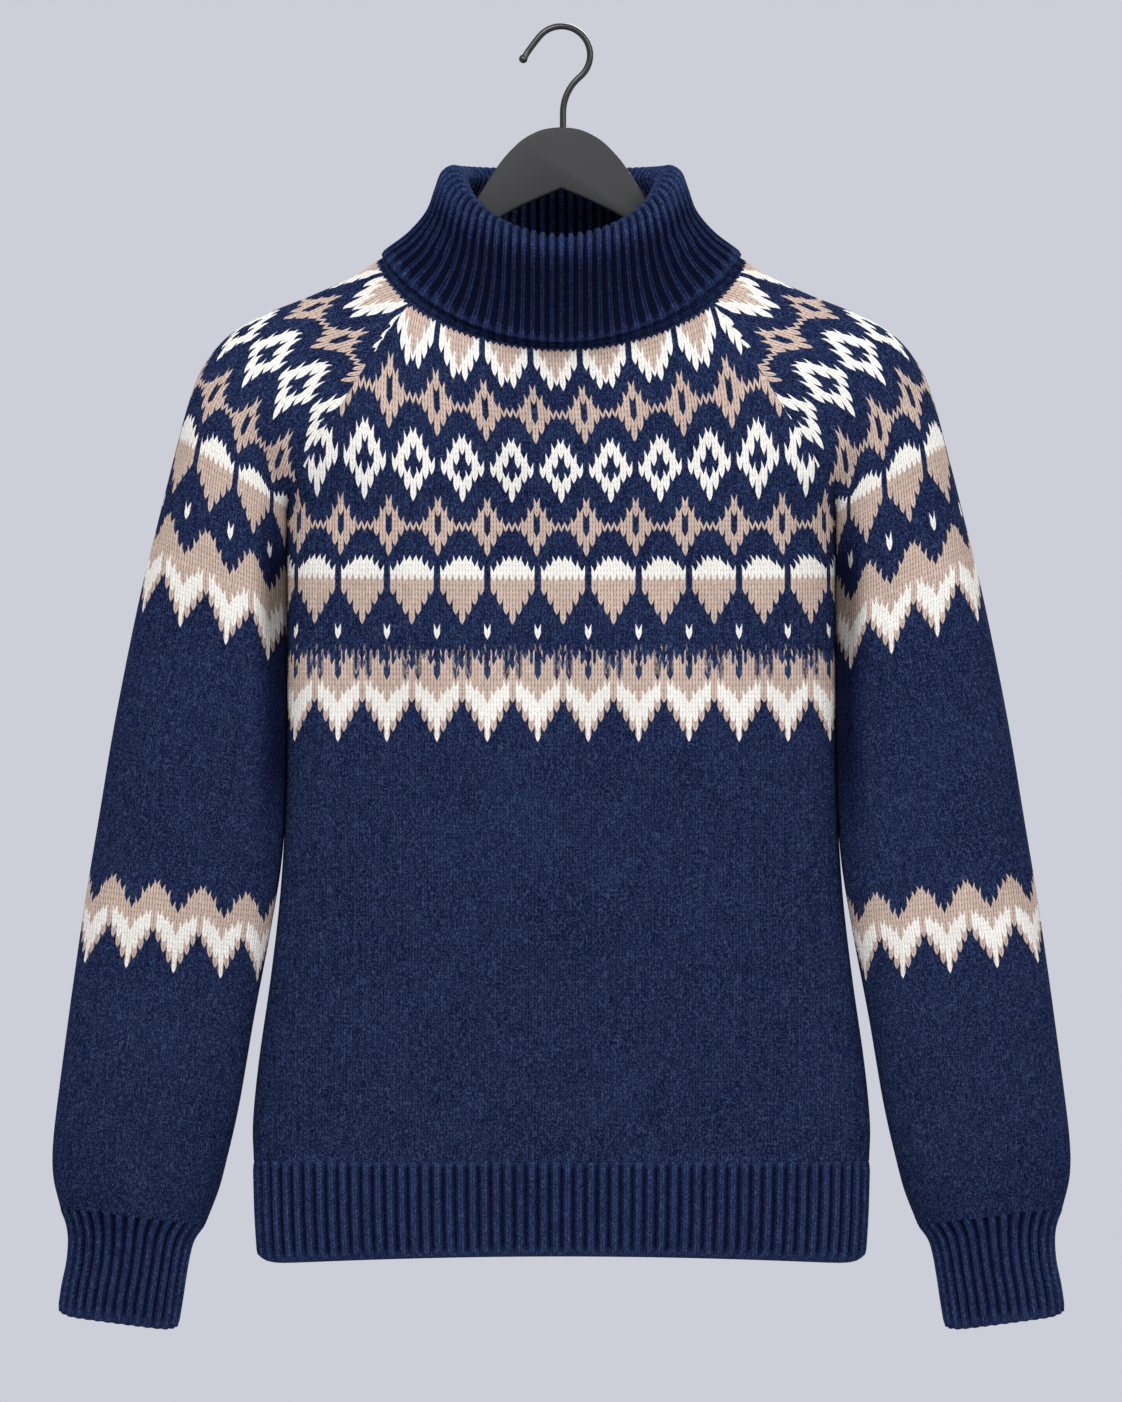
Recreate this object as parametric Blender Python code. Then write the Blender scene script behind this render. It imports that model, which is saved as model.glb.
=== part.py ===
"""Fair isle jumper with a roll collar, hanging on a coat hanger.

Metres, +Z up, front towards -Y, the wearer's left towards +X. The origin is the inside top of
the hook, where a rail carries the hanger. Each knitted piece is a wall: a grid of outer points,
and inner points one wall thickness further in.
"""
import math

import bmesh
import bpy
from mathutils import Vector

# ---- driving dimensions ---------------------------------------------------------------------
WALL = 0.0026                 # knitted wall of the panels and sleeves
RIB_WALL = 0.0030             # ribbed wall, measured from the middle of a rib's height
RIB_RISE = 0.0008             # a rib stands this far out, and its valley lies this far in
SEAM = 0.0003                 # gap between pieces that are sewn or knitted together
RAGLAN_SEAM = 0.0007          # gap along the raglan seams, whose walls twist as they run
NECK_SAG = 0.0002             # a panel's straight neck segments keep this much more room

PANEL_COLUMNS = 16            # grid columns across the front or the back
CAP_COLUMNS = 8               # grid columns from the sleeve's top line to its seam, each side
YOKE_STEP = 0.5               # rows above the armpit, in steps of the yoke table
ROW_FALL = 1.28               # how a yoke row falls from the raglan seam to its middle

HEM_RIBS = 112
CUFF_RIBS = 30
COLLAR_RIBS = 72
HEM_TOP = -0.7355
HEM_BOTTOM = -0.8005
HEM_ARCH = 0.0055             # the hem's middle hangs this much higher than its corners
HEM_TOP_WIDTH = 0.1996        # half widths and half depths of the hem band
HEM_MIDDLE_WIDTH = 0.1985
HEM_BOTTOM_WIDTH = 0.1962
HEM_DEPTH = 0.0400
HEM_BOTTOM_DEPTH = 0.0390
HEM_SQUARE = 2.8              # superellipse power of the hem's section
HEM_CORNER = 0.0030           # the band's lower corners are rounded by this much
CUFF_CORNER = 0.0026

HOOK_RADIUS = 0.01865         # middle line of the hook's bend
HOOK_WIRE = 0.0021            # radius of the wire
HANGER_HALF = 0.0060          # half thickness of the hanger
HANGER_BEVEL = 0.0014
HANGER_TOP = -0.0640
ARM_CLEARANCE = 0.0044        # from the sleeve's outer top line down to the hanger's arm

NAVY = (0.016, 0.026, 0.070)
CHARCOAL = (0.070, 0.070, 0.072)
BLACK = (0.012, 0.012, 0.013)

# The neck seam: an oval ring, lower at the front than at the sides.
NECK = {"side_x": 0.1177, "side_z": -0.1497, "front_y": 0.0600, "front_z": -0.2083,
        "back_y": 0.0520, "back_z": -0.1470, "fall": ROW_FALL}

# Sleeve cap, a row for each stage from the neck (0) to the armpit (7). "top" is the shoulder
# line; "front" and "back" are the raglan seams; a "turn" is how far round the oval from the top
# the seam lies, in degrees; a "deep" is the oval's half depth; "square" is its power.
CAP_NAMES = ("top_x", "top_z", "front_x", "front_z", "back_x", "back_z",
             "front_turn", "back_turn", "front_deep", "back_deep", "square")
CAP = (
    (0.1177, -0.1497, 0.0972, -0.1779, 0.1000, -0.1483, 34.3, 31.8, 0.0600, 0.0520, 2.00),
    (0.1362, -0.1615, 0.1121, -0.1960, 0.1150, -0.1720, 47.0, 45.0, 0.0520, 0.0485, 2.05),
    (0.1635, -0.1739, 0.1264, -0.2187, 0.1285, -0.1985, 60.0, 58.0, 0.0475, 0.0460, 2.10),
    (0.1908, -0.1849, 0.1394, -0.2395, 0.1412, -0.2255, 75.0, 73.0, 0.0445, 0.0440, 2.20),
    (0.2142, -0.1979, 0.1531, -0.2616, 0.1545, -0.2520, 92.0, 90.0, 0.0425, 0.0425, 2.30),
    (0.2304, -0.2161, 0.1661, -0.2818, 0.1667, -0.2765, 112.0, 111.0, 0.0405, 0.0405, 2.40),
    (0.2402, -0.2376, 0.1752, -0.2993, 0.1754, -0.2975, 140.0, 139.0, 0.0395, 0.0395, 2.50),
    (0.2493, -0.2701, 0.1784, -0.3136, 0.1784, -0.3136, 180.0, 180.0, 0.0395, 0.0395, 2.60),
)

# Sleeve below the armpit: the outer line, the underarm line, the half depth and the power.
ARM_NAMES = ("top_x", "top_z", "low_x", "low_z", "deep", "square")
ARM = (
    (0.2493, -0.2701, 0.1784, -0.3136, 0.0395, 2.60),
    (0.2590, -0.3091, 0.1793, -0.3468, 0.0392, 2.60),
    (0.2740, -0.3708, 0.1793, -0.4085, 0.0388, 2.60),
    (0.2896, -0.4488, 0.1800, -0.4774, 0.0382, 2.60),
    (0.3000, -0.5112, 0.1824, -0.5346, 0.0376, 2.60),
    (0.3090, -0.5658, 0.1893, -0.5840, 0.0370, 2.60),
    (0.3175, -0.6243, 0.2000, -0.6412, 0.0364, 2.60),
    (0.3253, -0.6828, 0.2098, -0.6984, 0.0356, 2.60),
    (0.3299, -0.7218, 0.2185, -0.7368, 0.0344, 2.55),
    (0.3299, -0.7452, 0.2236, -0.7556, 0.0322, 2.50),
    (0.3253, -0.7654, 0.2317, -0.7764, 0.0280, 2.45),
)
ARM_STAGES = (0.5, 1, 1.5, 2, 2.5, 3, 4, 5, 6, 7, 8, 9, 10)

# Cuff, from the sleeve seam to its edge, in the sleeve's own terms.
CUFF = (
    (0.3250, -0.7660, 0.2324, -0.7767, 0.0262, 2.45),
    (0.3211, -0.7758, 0.2389, -0.7855, 0.0236, 2.40),
    (0.3197, -0.7868, 0.2421, -0.7953, 0.0222, 2.40),
    (0.3208, -0.8011, 0.2447, -0.8096, 0.0218, 2.40),
    (0.3240, -0.8167, 0.2470, -0.8252, 0.0220, 2.40),
    (0.3266, -0.8322, 0.2490, -0.8418, 0.0224, 2.40),
)

# Middle line of the front and of the back, from the neck to the armpit.
YOKE_NAMES = ("front_z", "front_y", "back_z", "back_y", "square")
YOKE = (
    (-0.2083, 0.0600, -0.1470, 0.0520, 2.00),
    (-0.2239, 0.0588, -0.1700, 0.0530, 2.15),
    (-0.2434, 0.0573, -0.1975, 0.0538, 2.30),
    (-0.2603, 0.0560, -0.2260, 0.0542, 2.40),
    (-0.2792, 0.0547, -0.2530, 0.0543, 2.50),
    (-0.2935, 0.0538, -0.2775, 0.0540, 2.60),
    (-0.3058, 0.0531, -0.2985, 0.0534, 2.70),
    (-0.3169, 0.0525, -0.3145, 0.0525, 2.80),
)

# Body from the armpit to the hem band: side height, half width, half depth, fall to the middle.
BODY_NAMES = ("z", "half_width", "half_depth", "fall")
BODY = (
    (-0.3136, 0.1784, 0.0525, 0.0033),
    (-0.3600, 0.1781, 0.0505, 0.0016),
    (-0.4300, 0.1780, 0.0480, 0.0004),
    (-0.5000, 0.1788, 0.0462, 0.0000),
    (-0.5600, 0.1822, 0.0450, 0.0000),
    (-0.6150, 0.1884, 0.0439, 0.0000),
    (-0.6700, 0.1962, 0.0427, 0.0000),
    (-0.7100, 0.2001, 0.0414, 0.0000),
    (-0.7352, 0.1996, 0.0400, 0.0000),
)

# Soft troughs in the cloth: start and end in X and Z, half width, depth, and the side they are
# on (-1 front, 1 back).
FOLD_NAMES = ("start_x", "start_z", "end_x", "end_z", "width", "depth", "side")
FOLDS = (
    (0.1960, -0.2680, 0.1800, -0.3120, 0.0075, 0.0060, -1),
    (-0.1965, -0.2665, -0.1800, -0.3120, 0.0080, 0.0055, -1),
    (0.1950, -0.2640, 0.1800, -0.3120, 0.0080, 0.0050, 1),
    (-0.1955, -0.2690, -0.1800, -0.3120, 0.0075, 0.0055, 1),
    (-0.0540, -0.5000, -0.0620, -0.7200, 0.0160, 0.0018, -1),
    (0.0700, -0.5400, 0.0820, -0.7300, 0.0180, 0.0015, -1),
    (-0.1330, -0.4300, -0.1500, -0.6900, 0.0140, 0.0020, -1),
    (0.1380, -0.4700, 0.1520, -0.7100, 0.0150, 0.0018, -1),
    (0.0450, -0.3000, 0.0700, -0.6900, 0.0200, 0.0024, 1),
    (-0.0700, -0.3400, -0.0900, -0.7100, 0.0170, 0.0020, 1),
    (0.1350, -0.3600, 0.1500, -0.6200, 0.0150, 0.0022, 1),
    (0.2900, -0.5700, 0.2300, -0.6150, 0.0110, 0.0020, -1),
    (-0.2950, -0.5900, -0.2350, -0.6250, 0.0120, 0.0018, -1),
    (0.2550, -0.6900, 0.2700, -0.7550, 0.0090, 0.0018, -1),
    (-0.2650, -0.6850, -0.2720, -0.7550, 0.0090, 0.0020, -1),
    (0.2850, -0.5500, 0.2250, -0.6000, 0.0120, 0.0026, 1),
    (-0.2850, -0.5750, -0.2300, -0.6300, 0.0110, 0.0024, 1),
)

# Section of the folded collar, in order round the section: rings with a side point (x, z), a
# front point and a back point (y, z), how a ring falls between them, and 1 where it is ribbed.
COLLAR_NAMES = ("side_x", "side_z", "front_y", "front_z", "back_y", "back_z", "fall", "ribbed")
COLLAR = (
    (0.0945, -0.1425, 0.0545, -0.1850, 0.0470, -0.1340, 1.30, 1),   # inner layer, inside
    (0.0645, -0.1010, 0.0495, -0.1480, 0.0420, -0.1040, 1.25, 1),
    (0.0650, -0.0918, 0.0505, -0.1375, 0.0428, -0.0950, 1.25, 1),   # fold
    (0.0702, -0.0876, 0.0550, -0.1338, 0.0468, -0.0915, 1.25, 1),
    (0.0772, -0.0930, 0.0598, -0.1378, 0.0515, -0.0958, 1.27, 1),
    (0.0815, -0.1040, 0.0622, -0.1500, 0.0542, -0.1090, 1.32, 1),   # outer layer, outside
    (0.0870, -0.1185, 0.0636, -0.1690, 0.0562, -0.1270, 1.40, 1),
    (0.0990, -0.1326, 0.0668, -0.1880, 0.0618, -0.1410, 1.50, 1),
    (0.1146, -0.1445, 0.0712, -0.2026, 0.0690, -0.1545, 1.60, 1),
    (0.1142, -0.1470, 0.0690, -0.2040, 0.0668, -0.1560, 1.60, 0),   # lower edge
    (0.0978, -0.1356, 0.0640, -0.1885, 0.0590, -0.1418, 1.50, 0),   # between the layers
    (0.0786, -0.1040, 0.0594, -0.1500, 0.0514, -0.1090, 1.32, 0),
    (0.0706, -0.0920, 0.0550, -0.1385, 0.0468, -0.0960, 1.26, 0),
    (0.0674, -0.1010, 0.0524, -0.1490, 0.0448, -0.1045, 1.25, 0),
    (0.0962, -0.1402, 0.0575, -0.1850, 0.0498, -0.1335, 1.30, 0),   # inner layer, outside
)


# ---- curves and sections --------------------------------------------------------------------
def smooth(values, place):
    """Read a list as one smooth curve; place runs from 0 to the last row."""
    last = len(values) - 1
    place = min(max(place, 0.0), float(last))
    start = min(int(place), last - 1)
    t = place - start
    a, b = values[start], values[start + 1]
    before = values[start - 1] if start > 0 else 2 * a - b
    after = values[start + 2] if start + 2 <= last else 2 * b - a
    slope_a = (b - before) / 2
    slope_b = (after - a) / 2
    return (a * (2 * t ** 3 - 3 * t ** 2 + 1) + slope_a * (t ** 3 - 2 * t ** 2 + t)
            + b * (3 * t ** 2 - 2 * t ** 3) + slope_b * (t ** 3 - t ** 2))


def stage(table, names, place):
    """One row of a table, read smoothly at a place between its rows."""
    return {name: smooth([row[at] for row in table], place) for at, name in enumerate(names)}


def power(value, square):
    """Superellipse form of a sine or cosine."""
    return math.copysign(abs(value) ** (2.0 / square), value)


def even_spacing(curve, start, end, count, samples=240):
    """Points of curve(t) from start to end, count steps of equal length."""
    fine = [curve(start + (end - start) * i / samples) for i in range(samples + 1)]
    lengths = [0.0]
    for i in range(samples):
        lengths.append(lengths[-1] + (fine[i + 1] - fine[i]).length)
    points = []
    at = 0
    for i in range(count + 1):
        want = lengths[-1] * i / count
        while at < samples - 1 and lengths[at + 1] < want:
            at += 1
        span = max(lengths[at + 1] - lengths[at], 1e-9)
        points.append(fine[at].lerp(fine[at + 1], min(max((want - lengths[at]) / span, 0.0), 1.0)))
    return points


def folded(point):
    """Press the soft troughs into a point of the cloth, leaving the outline as it is."""
    side = -1 if point.y < 0 else 1
    sunk = 0.0
    for row in FOLDS:
        fold = dict(zip(FOLD_NAMES, row))
        if fold["side"] != side:
            continue
        start = Vector((fold["start_x"], fold["start_z"]))
        run = Vector((fold["end_x"], fold["end_z"])) - start
        here = Vector((point.x, point.z)) - start
        along = min(max(here.dot(run) / run.length_squared, 0.0), 1.0)
        away = (here - run * along).length / fold["width"]
        sunk += fold["depth"] * math.exp(-away * away) * (0.35 + 0.65 * math.sin(math.pi * along))
    hold = min(1.0, abs(point.y) / 0.030)
    return Vector((point.x, point.y - side * sunk * hold, point.z))


# ---- the garment's outer surface ------------------------------------------------------------
def oval_ring(ring, theta):
    """Point of an oval ring; theta is 0 at the front middle and grows towards +X."""
    c = math.cos(theta)
    name = "front" if c >= 0 else "back"
    fall = abs(c) ** ring["fall"]
    z = ring["side_z"] + (ring[name + "_z"] - ring["side_z"]) * fall
    return Vector((ring["side_x"] * math.sin(theta), -ring[name + "_y"] * c, z))


def seam_angle(side):
    """Angle on the neck ring where the +X raglan seam meets it, front (-1) or back (1)."""
    x = CAP[0][CAP_NAMES.index("front_x" if side < 0 else "back_x")]
    theta = math.asin(x / NECK["side_x"])
    return theta if side < 0 else math.pi - theta


def raglan(place, side):
    """Point of the +X raglan seam, front (-1) or back (1), at a stage of the yoke."""
    if place <= 0:
        return oval_ring(NECK, seam_angle(side))
    row = stage(CAP, CAP_NAMES, place)
    name = "front" if side < 0 else "back"
    turn = math.radians(min(row[name + "_turn"], 180.0))
    deep = row[name + "_deep"] * abs(math.sin(turn)) ** (2.0 / row["square"])
    if place >= len(CAP) - 1:
        deep = 0.0
    return Vector((row[name + "_x"], side * deep, row[name + "_z"]))


def yoke_row(place, side, count):
    """One row of the front or back above the armpit, from the -X raglan seam to the +X one."""
    if place <= 0:
        edge = seam_angle(side)
        first, last = (-edge, edge) if side < 0 else (2 * math.pi - edge, edge)
        return even_spacing(lambda theta: oval_ring(NECK, theta), first, last, count)
    row = stage(YOKE, YOKE_NAMES, place)
    name = "front" if side < 0 else "back"
    seam = raglan(place, side)
    middle_y, middle_z, square = row[name + "_y"], row[name + "_z"], row["square"]
    wide = seam.x / (1.0 - (abs(seam.y) / middle_y) ** square) ** (1.0 / square)
    edge = math.asin(min(seam.x / wide, 1.0))

    def curve(theta):
        x = wide * math.sin(theta)
        y = side * middle_y * max(1.0 - abs(x / wide) ** square, 0.0) ** (1.0 / square)
        end = abs(math.cos(edge)) ** ROW_FALL
        part = (abs(math.cos(theta)) ** ROW_FALL - end) / (1.0 - end)
        return Vector((x, y, seam.z + (middle_z - seam.z) * part))

    return even_spacing(curve, -edge, edge, count)


def body_row(place, side, count):
    """One row of the front or back below the armpit, from the -X side seam to the +X one."""
    row = stage(BODY, BODY_NAMES, place)

    def curve(theta):
        c = power(math.cos(theta), HEM_SQUARE)
        z = row["z"] - row["fall"] * abs(c)
        return Vector((row["half_width"] * power(math.sin(theta), HEM_SQUARE),
                       side * row["half_depth"] * c, z))

    return even_spacing(curve, -math.pi / 2, math.pi / 2, count)


def cap_ring(place):
    """One open ring of the +X sleeve, from the front raglan over the shoulder to the back."""
    row = stage(CAP, CAP_NAMES, place)
    top = Vector((row["top_x"], 0.0, row["top_z"]))
    halves = []
    for side, name in ((-1, "front"), (1, "back")):
        if place <= 0:
            points = even_spacing(lambda theta: oval_ring(NECK, theta), seam_angle(side),
                                  math.pi / 2, CAP_COLUMNS)
        else:
            seam = raglan(place, side)
            turn = math.radians(min(row[name + "_turn"], 180.0))
            square = row["square"]
            whole = 1.0 - power(math.cos(turn), square)

            def curve(angle):
                part = (1.0 - power(math.cos(angle), square)) / whole
                y = side * row[name + "_deep"] * abs(math.sin(angle)) ** (2.0 / square)
                return Vector((top.x + (seam.x - top.x) * part, y,
                               top.z + (seam.z - top.z) * part))

            points = even_spacing(curve, turn, 0.0, CAP_COLUMNS)
        halves.append(points)
    return halves[0] + halves[1][-2::-1]


def arm_curve(row):
    """Closed section of a sleeve or cuff: angle 0 is its outer line, pi its underarm line."""
    def curve(angle):
        part = (1.0 - power(math.cos(angle), row["square"])) / 2.0
        y = -row["deep"] * power(math.sin(angle), row["square"])
        return Vector((row["top_x"] + (row["low_x"] - row["top_x"]) * part, y,
                       row["top_z"] + (row["low_z"] - row["top_z"]) * part))
    return curve


def arm_ring(place):
    """One closed ring of the +X sleeve, from the underarm, front side first, all the way round."""
    curve = arm_curve(stage(ARM, ARM_NAMES, place))
    front = even_spacing(curve, math.pi, 0.0, CAP_COLUMNS)
    back = even_spacing(curve, 0.0, -math.pi, CAP_COLUMNS)
    return front + back[1:]


# ---- walls ----------------------------------------------------------------------------------
def grid_normals(grid, outward, around=False):
    """Unit normals of a grid of points; outward(point) tells roughly which way is out."""
    rows, columns = len(grid), len(grid[0])
    normals = []
    for i in range(rows):
        line = []
        for j in range(columns):
            down = grid[min(i + 1, rows - 1)][j] - grid[max(i - 1, 0)][j]
            if around:
                across = grid[i][(j + 1) % columns] - grid[i][j - 1]
            else:
                across = grid[i][min(j + 1, columns - 1)] - grid[i][max(j - 1, 0)]
            normal = across.cross(down).normalized()
            if normal.dot(outward(grid[i][j])) < 0:
                normal.negate()
            line.append(normal)
        normals.append(line)
    return normals


def neck_direction(point):
    """Outward direction that both walls at the neck seam share."""
    s = point.x / NECK["side_x"]
    c = math.sqrt(max(1.0 - s * s, 0.0))
    return Vector((0.55 * s, math.copysign(0.99 * c, point.y), 0.10 + 0.73 * s * s)).normalized()


def link_faces(mesh, first, second, close):
    """Faces between two lines of vertices, leaving out the ones that shrink to nothing."""
    count = len(first)
    for j in range(count if close else count - 1):
        k = (j + 1) % count
        corners = []
        for vert in (first[j], first[k], second[k], second[j]):
            if vert not in corners:
                corners.append(vert)
        if len(corners) > 2 and not mesh.faces.get(corners):
            mesh.faces.new(corners)


def finish(name, mesh, colour, roughness):
    """Turn a bmesh into a named, smooth-shaded object with its own material."""
    bmesh.ops.recalc_face_normals(mesh, faces=mesh.faces[:])
    data = bpy.data.meshes.new(name)
    mesh.to_mesh(data)
    mesh.free()
    data.shade_smooth()
    data.set_sharp_from_angle(angle=math.radians(50))
    material = bpy.data.materials.new(name)
    material.use_nodes = True
    shader = material.node_tree.nodes["Principled BSDF"]
    shader.inputs["Base Color"].default_value = (*colour, 1.0)
    shader.inputs["Roughness"].default_value = roughness
    shader.inputs["Metallic"].default_value = 0.0
    data.materials.append(material)
    piece = bpy.data.objects.new(name, data)
    bpy.context.collection.objects.link(piece)
    return piece


def knitted_wall(name, outer, inner, closed_from=None):
    """Close two grids of points into one wall. From row closed_from on, the last column is the
    first one again, which makes a tube."""
    mesh = bmesh.new()
    skins = []
    for grid in (outer, inner):
        skin = []
        for i, row in enumerate(grid):
            line = [mesh.verts.new(point) for point in (row[:-1] if closed_from is not None
                                                        and i >= closed_from else row)]
            if len(line) < len(row):
                line.append(line[0])
            skin.append(line)
        skins.append(skin)
    partner = {}
    for outer_line, inner_line in zip(*skins):
        partner.update(zip(outer_line, inner_line))
    for skin in skins:
        for upper, lower in zip(skin, skin[1:]):
            link_faces(mesh, upper, lower, close=False)
    rims = [edge for edge in mesh.edges if edge.is_boundary and edge.verts[0] in partner]
    for edge in rims:
        a, b = edge.verts
        mesh.faces.new((a, b, partner[b], partner[a]))
    return finish(name, mesh, NAVY, 0.85)


def ribbed_ring(name, rings, plain):
    """Close a stack of rings round its section. The rings named in plain have one vertex for
    each rib, the others one for its ridge and one for its valley."""
    mesh = bmesh.new()
    lines = []
    for at, ring in enumerate(rings):
        if at in plain:
            line = []
            for j in range(0, len(ring), 2):
                vert = mesh.verts.new(ring[j])
                line += [vert, vert]
        else:
            line = [mesh.verts.new(point) for point in ring]
        lines.append(line)
    for at, line in enumerate(lines):
        link_faces(mesh, line, lines[(at + 1) % len(lines)], close=True)
    return finish(name, mesh, NAVY, 0.85)


def mirrored(grid):
    """The same points on the other side of the garment."""
    return [[Vector((-point.x, point.y, point.z)) for point in row] for row in grid]


# ---- front, back and sleeves ----------------------------------------------------------------
def panel_grid(side):
    """Rows of the front (-1) or back (1), from the neck to the hem band."""
    steps = round((len(CAP) - 1) / YOKE_STEP)
    grid = [yoke_row(i * YOKE_STEP, side, PANEL_COLUMNS) for i in range(steps)]
    grid += [body_row(i, side, PANEL_COLUMNS) for i in range(len(BODY))]
    return grid, steps


def sleeve_grid():
    """Rings of the +X sleeve, from the neck to the cuff."""
    steps = round((len(CAP) - 1) / YOKE_STEP)
    grid = [cap_ring(i * YOKE_STEP) for i in range(steps)]
    grid += [arm_ring(place) for place in (0,) + ARM_STAGES]
    return grid, steps


def press_folds(grid, first_row):
    """Press the folds into all rows below first_row, but not into a panel's own edges."""
    for i in range(first_row, len(grid)):
        grid[i] = grid[i][:1] + [folded(point) for point in grid[i][1:-1]] + grid[i][-1:]


def make_front_back_and_sleeves():
    sleeve, armpit = sleeve_grid()
    sleeve_normals = grid_normals(sleeve, sleeve_out)
    seam_side = {-1: 0, 1: 2 * CAP_COLUMNS}
    for side, name in ((-1, "front"), (1, "back")):
        panel, steps = panel_grid(side)
        normals = grid_normals(panel, lambda point: Vector((0.3 * point.x, side, 0.0)))
        for i in range(len(panel)):
            for column, sign in ((0, -1), (PANEL_COLUMNS, 1)):
                if i > steps:
                    normals[i][column] = Vector((sign, 0.0, 0.0))
                elif i == steps:
                    normals[i][column] = Vector((sign, 0.0, -1.0)).normalized()
                else:
                    other = sleeve_normals[i][seam_side[side]].copy()
                    other.x *= sign
                    normals[i][column] = (normals[i][column] + other).normalized()
                    if sign > 0:
                        sleeve_normals[i][seam_side[side]] = normals[i][column].copy()
        press_folds(panel, 2)
        normals[0] = [neck_direction(point) for point in panel[0]]
        outer = [[point.copy() for point in row] for row in panel]
        for i, row in enumerate(outer):
            for column, beside, sign in ((0, 1, 1), (PANEL_COLUMNS, PANEL_COLUMNS - 1, -1)):
                if i < steps:
                    row[column] += (row[beside] - row[column]).normalized() * RAGLAN_SEAM / 2
                elif i == steps:
                    row[column].x += sign * SEAM / 2
                if i >= steps:
                    row[column].y = side * SEAM / 2
        for j in range(PANEL_COLUMNS + 1):
            outer[0][j] += (outer[1][j] - outer[0][j]).normalized() * NECK_SAG
        inner = wall_inside(outer, normals)
        knitted_wall(name, outer, inner)

    sleeve_normals[0] = [neck_direction(point) for point in sleeve[0]]
    for column in (0, 2 * CAP_COLUMNS):
        sleeve_normals[armpit][column] = Vector((-1.0, 0.0, -1.0)).normalized()
        for i in range(armpit + 1, len(sleeve)):
            sleeve_normals[i][column] = underarm_normal(sleeve, i)
    for sign, name in ((1, "sleeve_left"), (-1, "sleeve_right")):
        placed = sleeve if sign > 0 else mirrored(sleeve)
        normals = sleeve_normals if sign > 0 else mirrored(sleeve_normals)
        outer = [[point.copy() for point in row] for row in placed]
        press_folds(outer, 2)
        for i, row in enumerate(outer[:armpit + 1]):
            for column, beside in ((0, 1), (2 * CAP_COLUMNS, 2 * CAP_COLUMNS - 1)):
                if i < armpit:
                    row[column] += (row[beside] - row[column]).normalized() * RAGLAN_SEAM / 2
                else:
                    row[column].x += sign * SEAM / 2
        for j in range(2 * CAP_COLUMNS + 1):
            outer[0][j] += (outer[1][j] - outer[0][j]).normalized() * NECK_SAG
        knitted_wall(name, outer, wall_inside(outer, normals), closed_from=armpit)


def wall_inside(outer, normals):
    """Inner points of a wall, one wall thickness in from the outer ones."""
    return [[point - normal * WALL for point, normal in zip(row, line)]
            for row, line in zip(outer, normals)]


def sleeve_out(point):
    """Roughly outward from the middle of the +X sleeve at a point's height."""
    middle_x = 0.150 if point.z > -0.20 else 0.215 + 0.13 * (-0.30 - point.z)
    middle_z = point.z if point.z < -0.27 else point.z - 0.05
    return Vector((point.x - middle_x, point.y * 1.6, point.z - middle_z))


def underarm_normal(sleeve, i):
    """Outward normal on the underarm line, across the ring and square to the line."""
    across = sleeve[i][0] - sleeve[i][CAP_COLUMNS]
    line = sleeve[min(i + 1, len(sleeve) - 1)][0] - sleeve[i - 1][0]
    across -= line * (across.dot(line) / line.length_squared)
    return across.normalized()


# ---- ribbed bands ---------------------------------------------------------------------------
def ribbed(points, middle_of):
    """Raise every other point of a ring and sink the ones between, away from its middle."""
    raised = []
    for j, point in enumerate(points):
        out = (point - middle_of(point)).normalized()
        raised.append(point + out * (RIB_RISE if j % 2 else -RIB_RISE))
    return raised


def hem_ring(half_width, half_depth, drop):
    """One ring of the hem band; drop is 0 at its top and 1 at its bottom edge."""
    def curve(theta):
        x = half_width * power(math.sin(theta), HEM_SQUARE)
        y = -half_depth * power(math.cos(theta), HEM_SQUARE)
        across = abs(x) / half_width
        bottom = HEM_BOTTOM + HEM_ARCH * (1.0 - across ** 2) + HEM_CORNER * across ** 40
        return Vector((x, y, HEM_TOP + (bottom - HEM_TOP) * drop))
    return even_spacing(curve, -math.pi, math.pi, 2 * HEM_RIBS, samples=1200)[:-1]


def make_hem_rib():
    def middle(point):
        return Vector((point.x * 0.8, 0.0, point.z))

    outer = [hem_ring(HEM_TOP_WIDTH, HEM_DEPTH, 0.0),
             hem_ring(HEM_MIDDLE_WIDTH, HEM_DEPTH, 0.55),
             hem_ring(HEM_BOTTOM_WIDTH, HEM_BOTTOM_DEPTH, 1.0)]
    inner = [hem_ring(HEM_BOTTOM_WIDTH - RIB_WALL, HEM_BOTTOM_DEPTH - RIB_WALL, 1.0),
             hem_ring(HEM_TOP_WIDTH - RIB_WALL, HEM_DEPTH - RIB_WALL, 0.0)]
    rings = [ribbed(ring, middle) for ring in outer] + inner
    ribbed_ring("hem_rib", rings, plain=(3, 4))


def cuff_ring(row, shrink):
    """One ring of the +X cuff, drawn in by shrink on every side."""
    across = Vector((row["low_x"] - row["top_x"], row["low_z"] - row["top_z"])).normalized()
    smaller = dict(row)
    smaller["top_x"] += across.x * shrink
    smaller["top_z"] += across.y * shrink
    smaller["low_x"] -= across.x * shrink
    smaller["low_z"] -= across.y * shrink
    smaller["deep"] -= shrink
    return even_spacing(arm_curve(smaller), -math.pi, math.pi, 2 * CUFF_RIBS, samples=900)[:-1]


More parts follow.
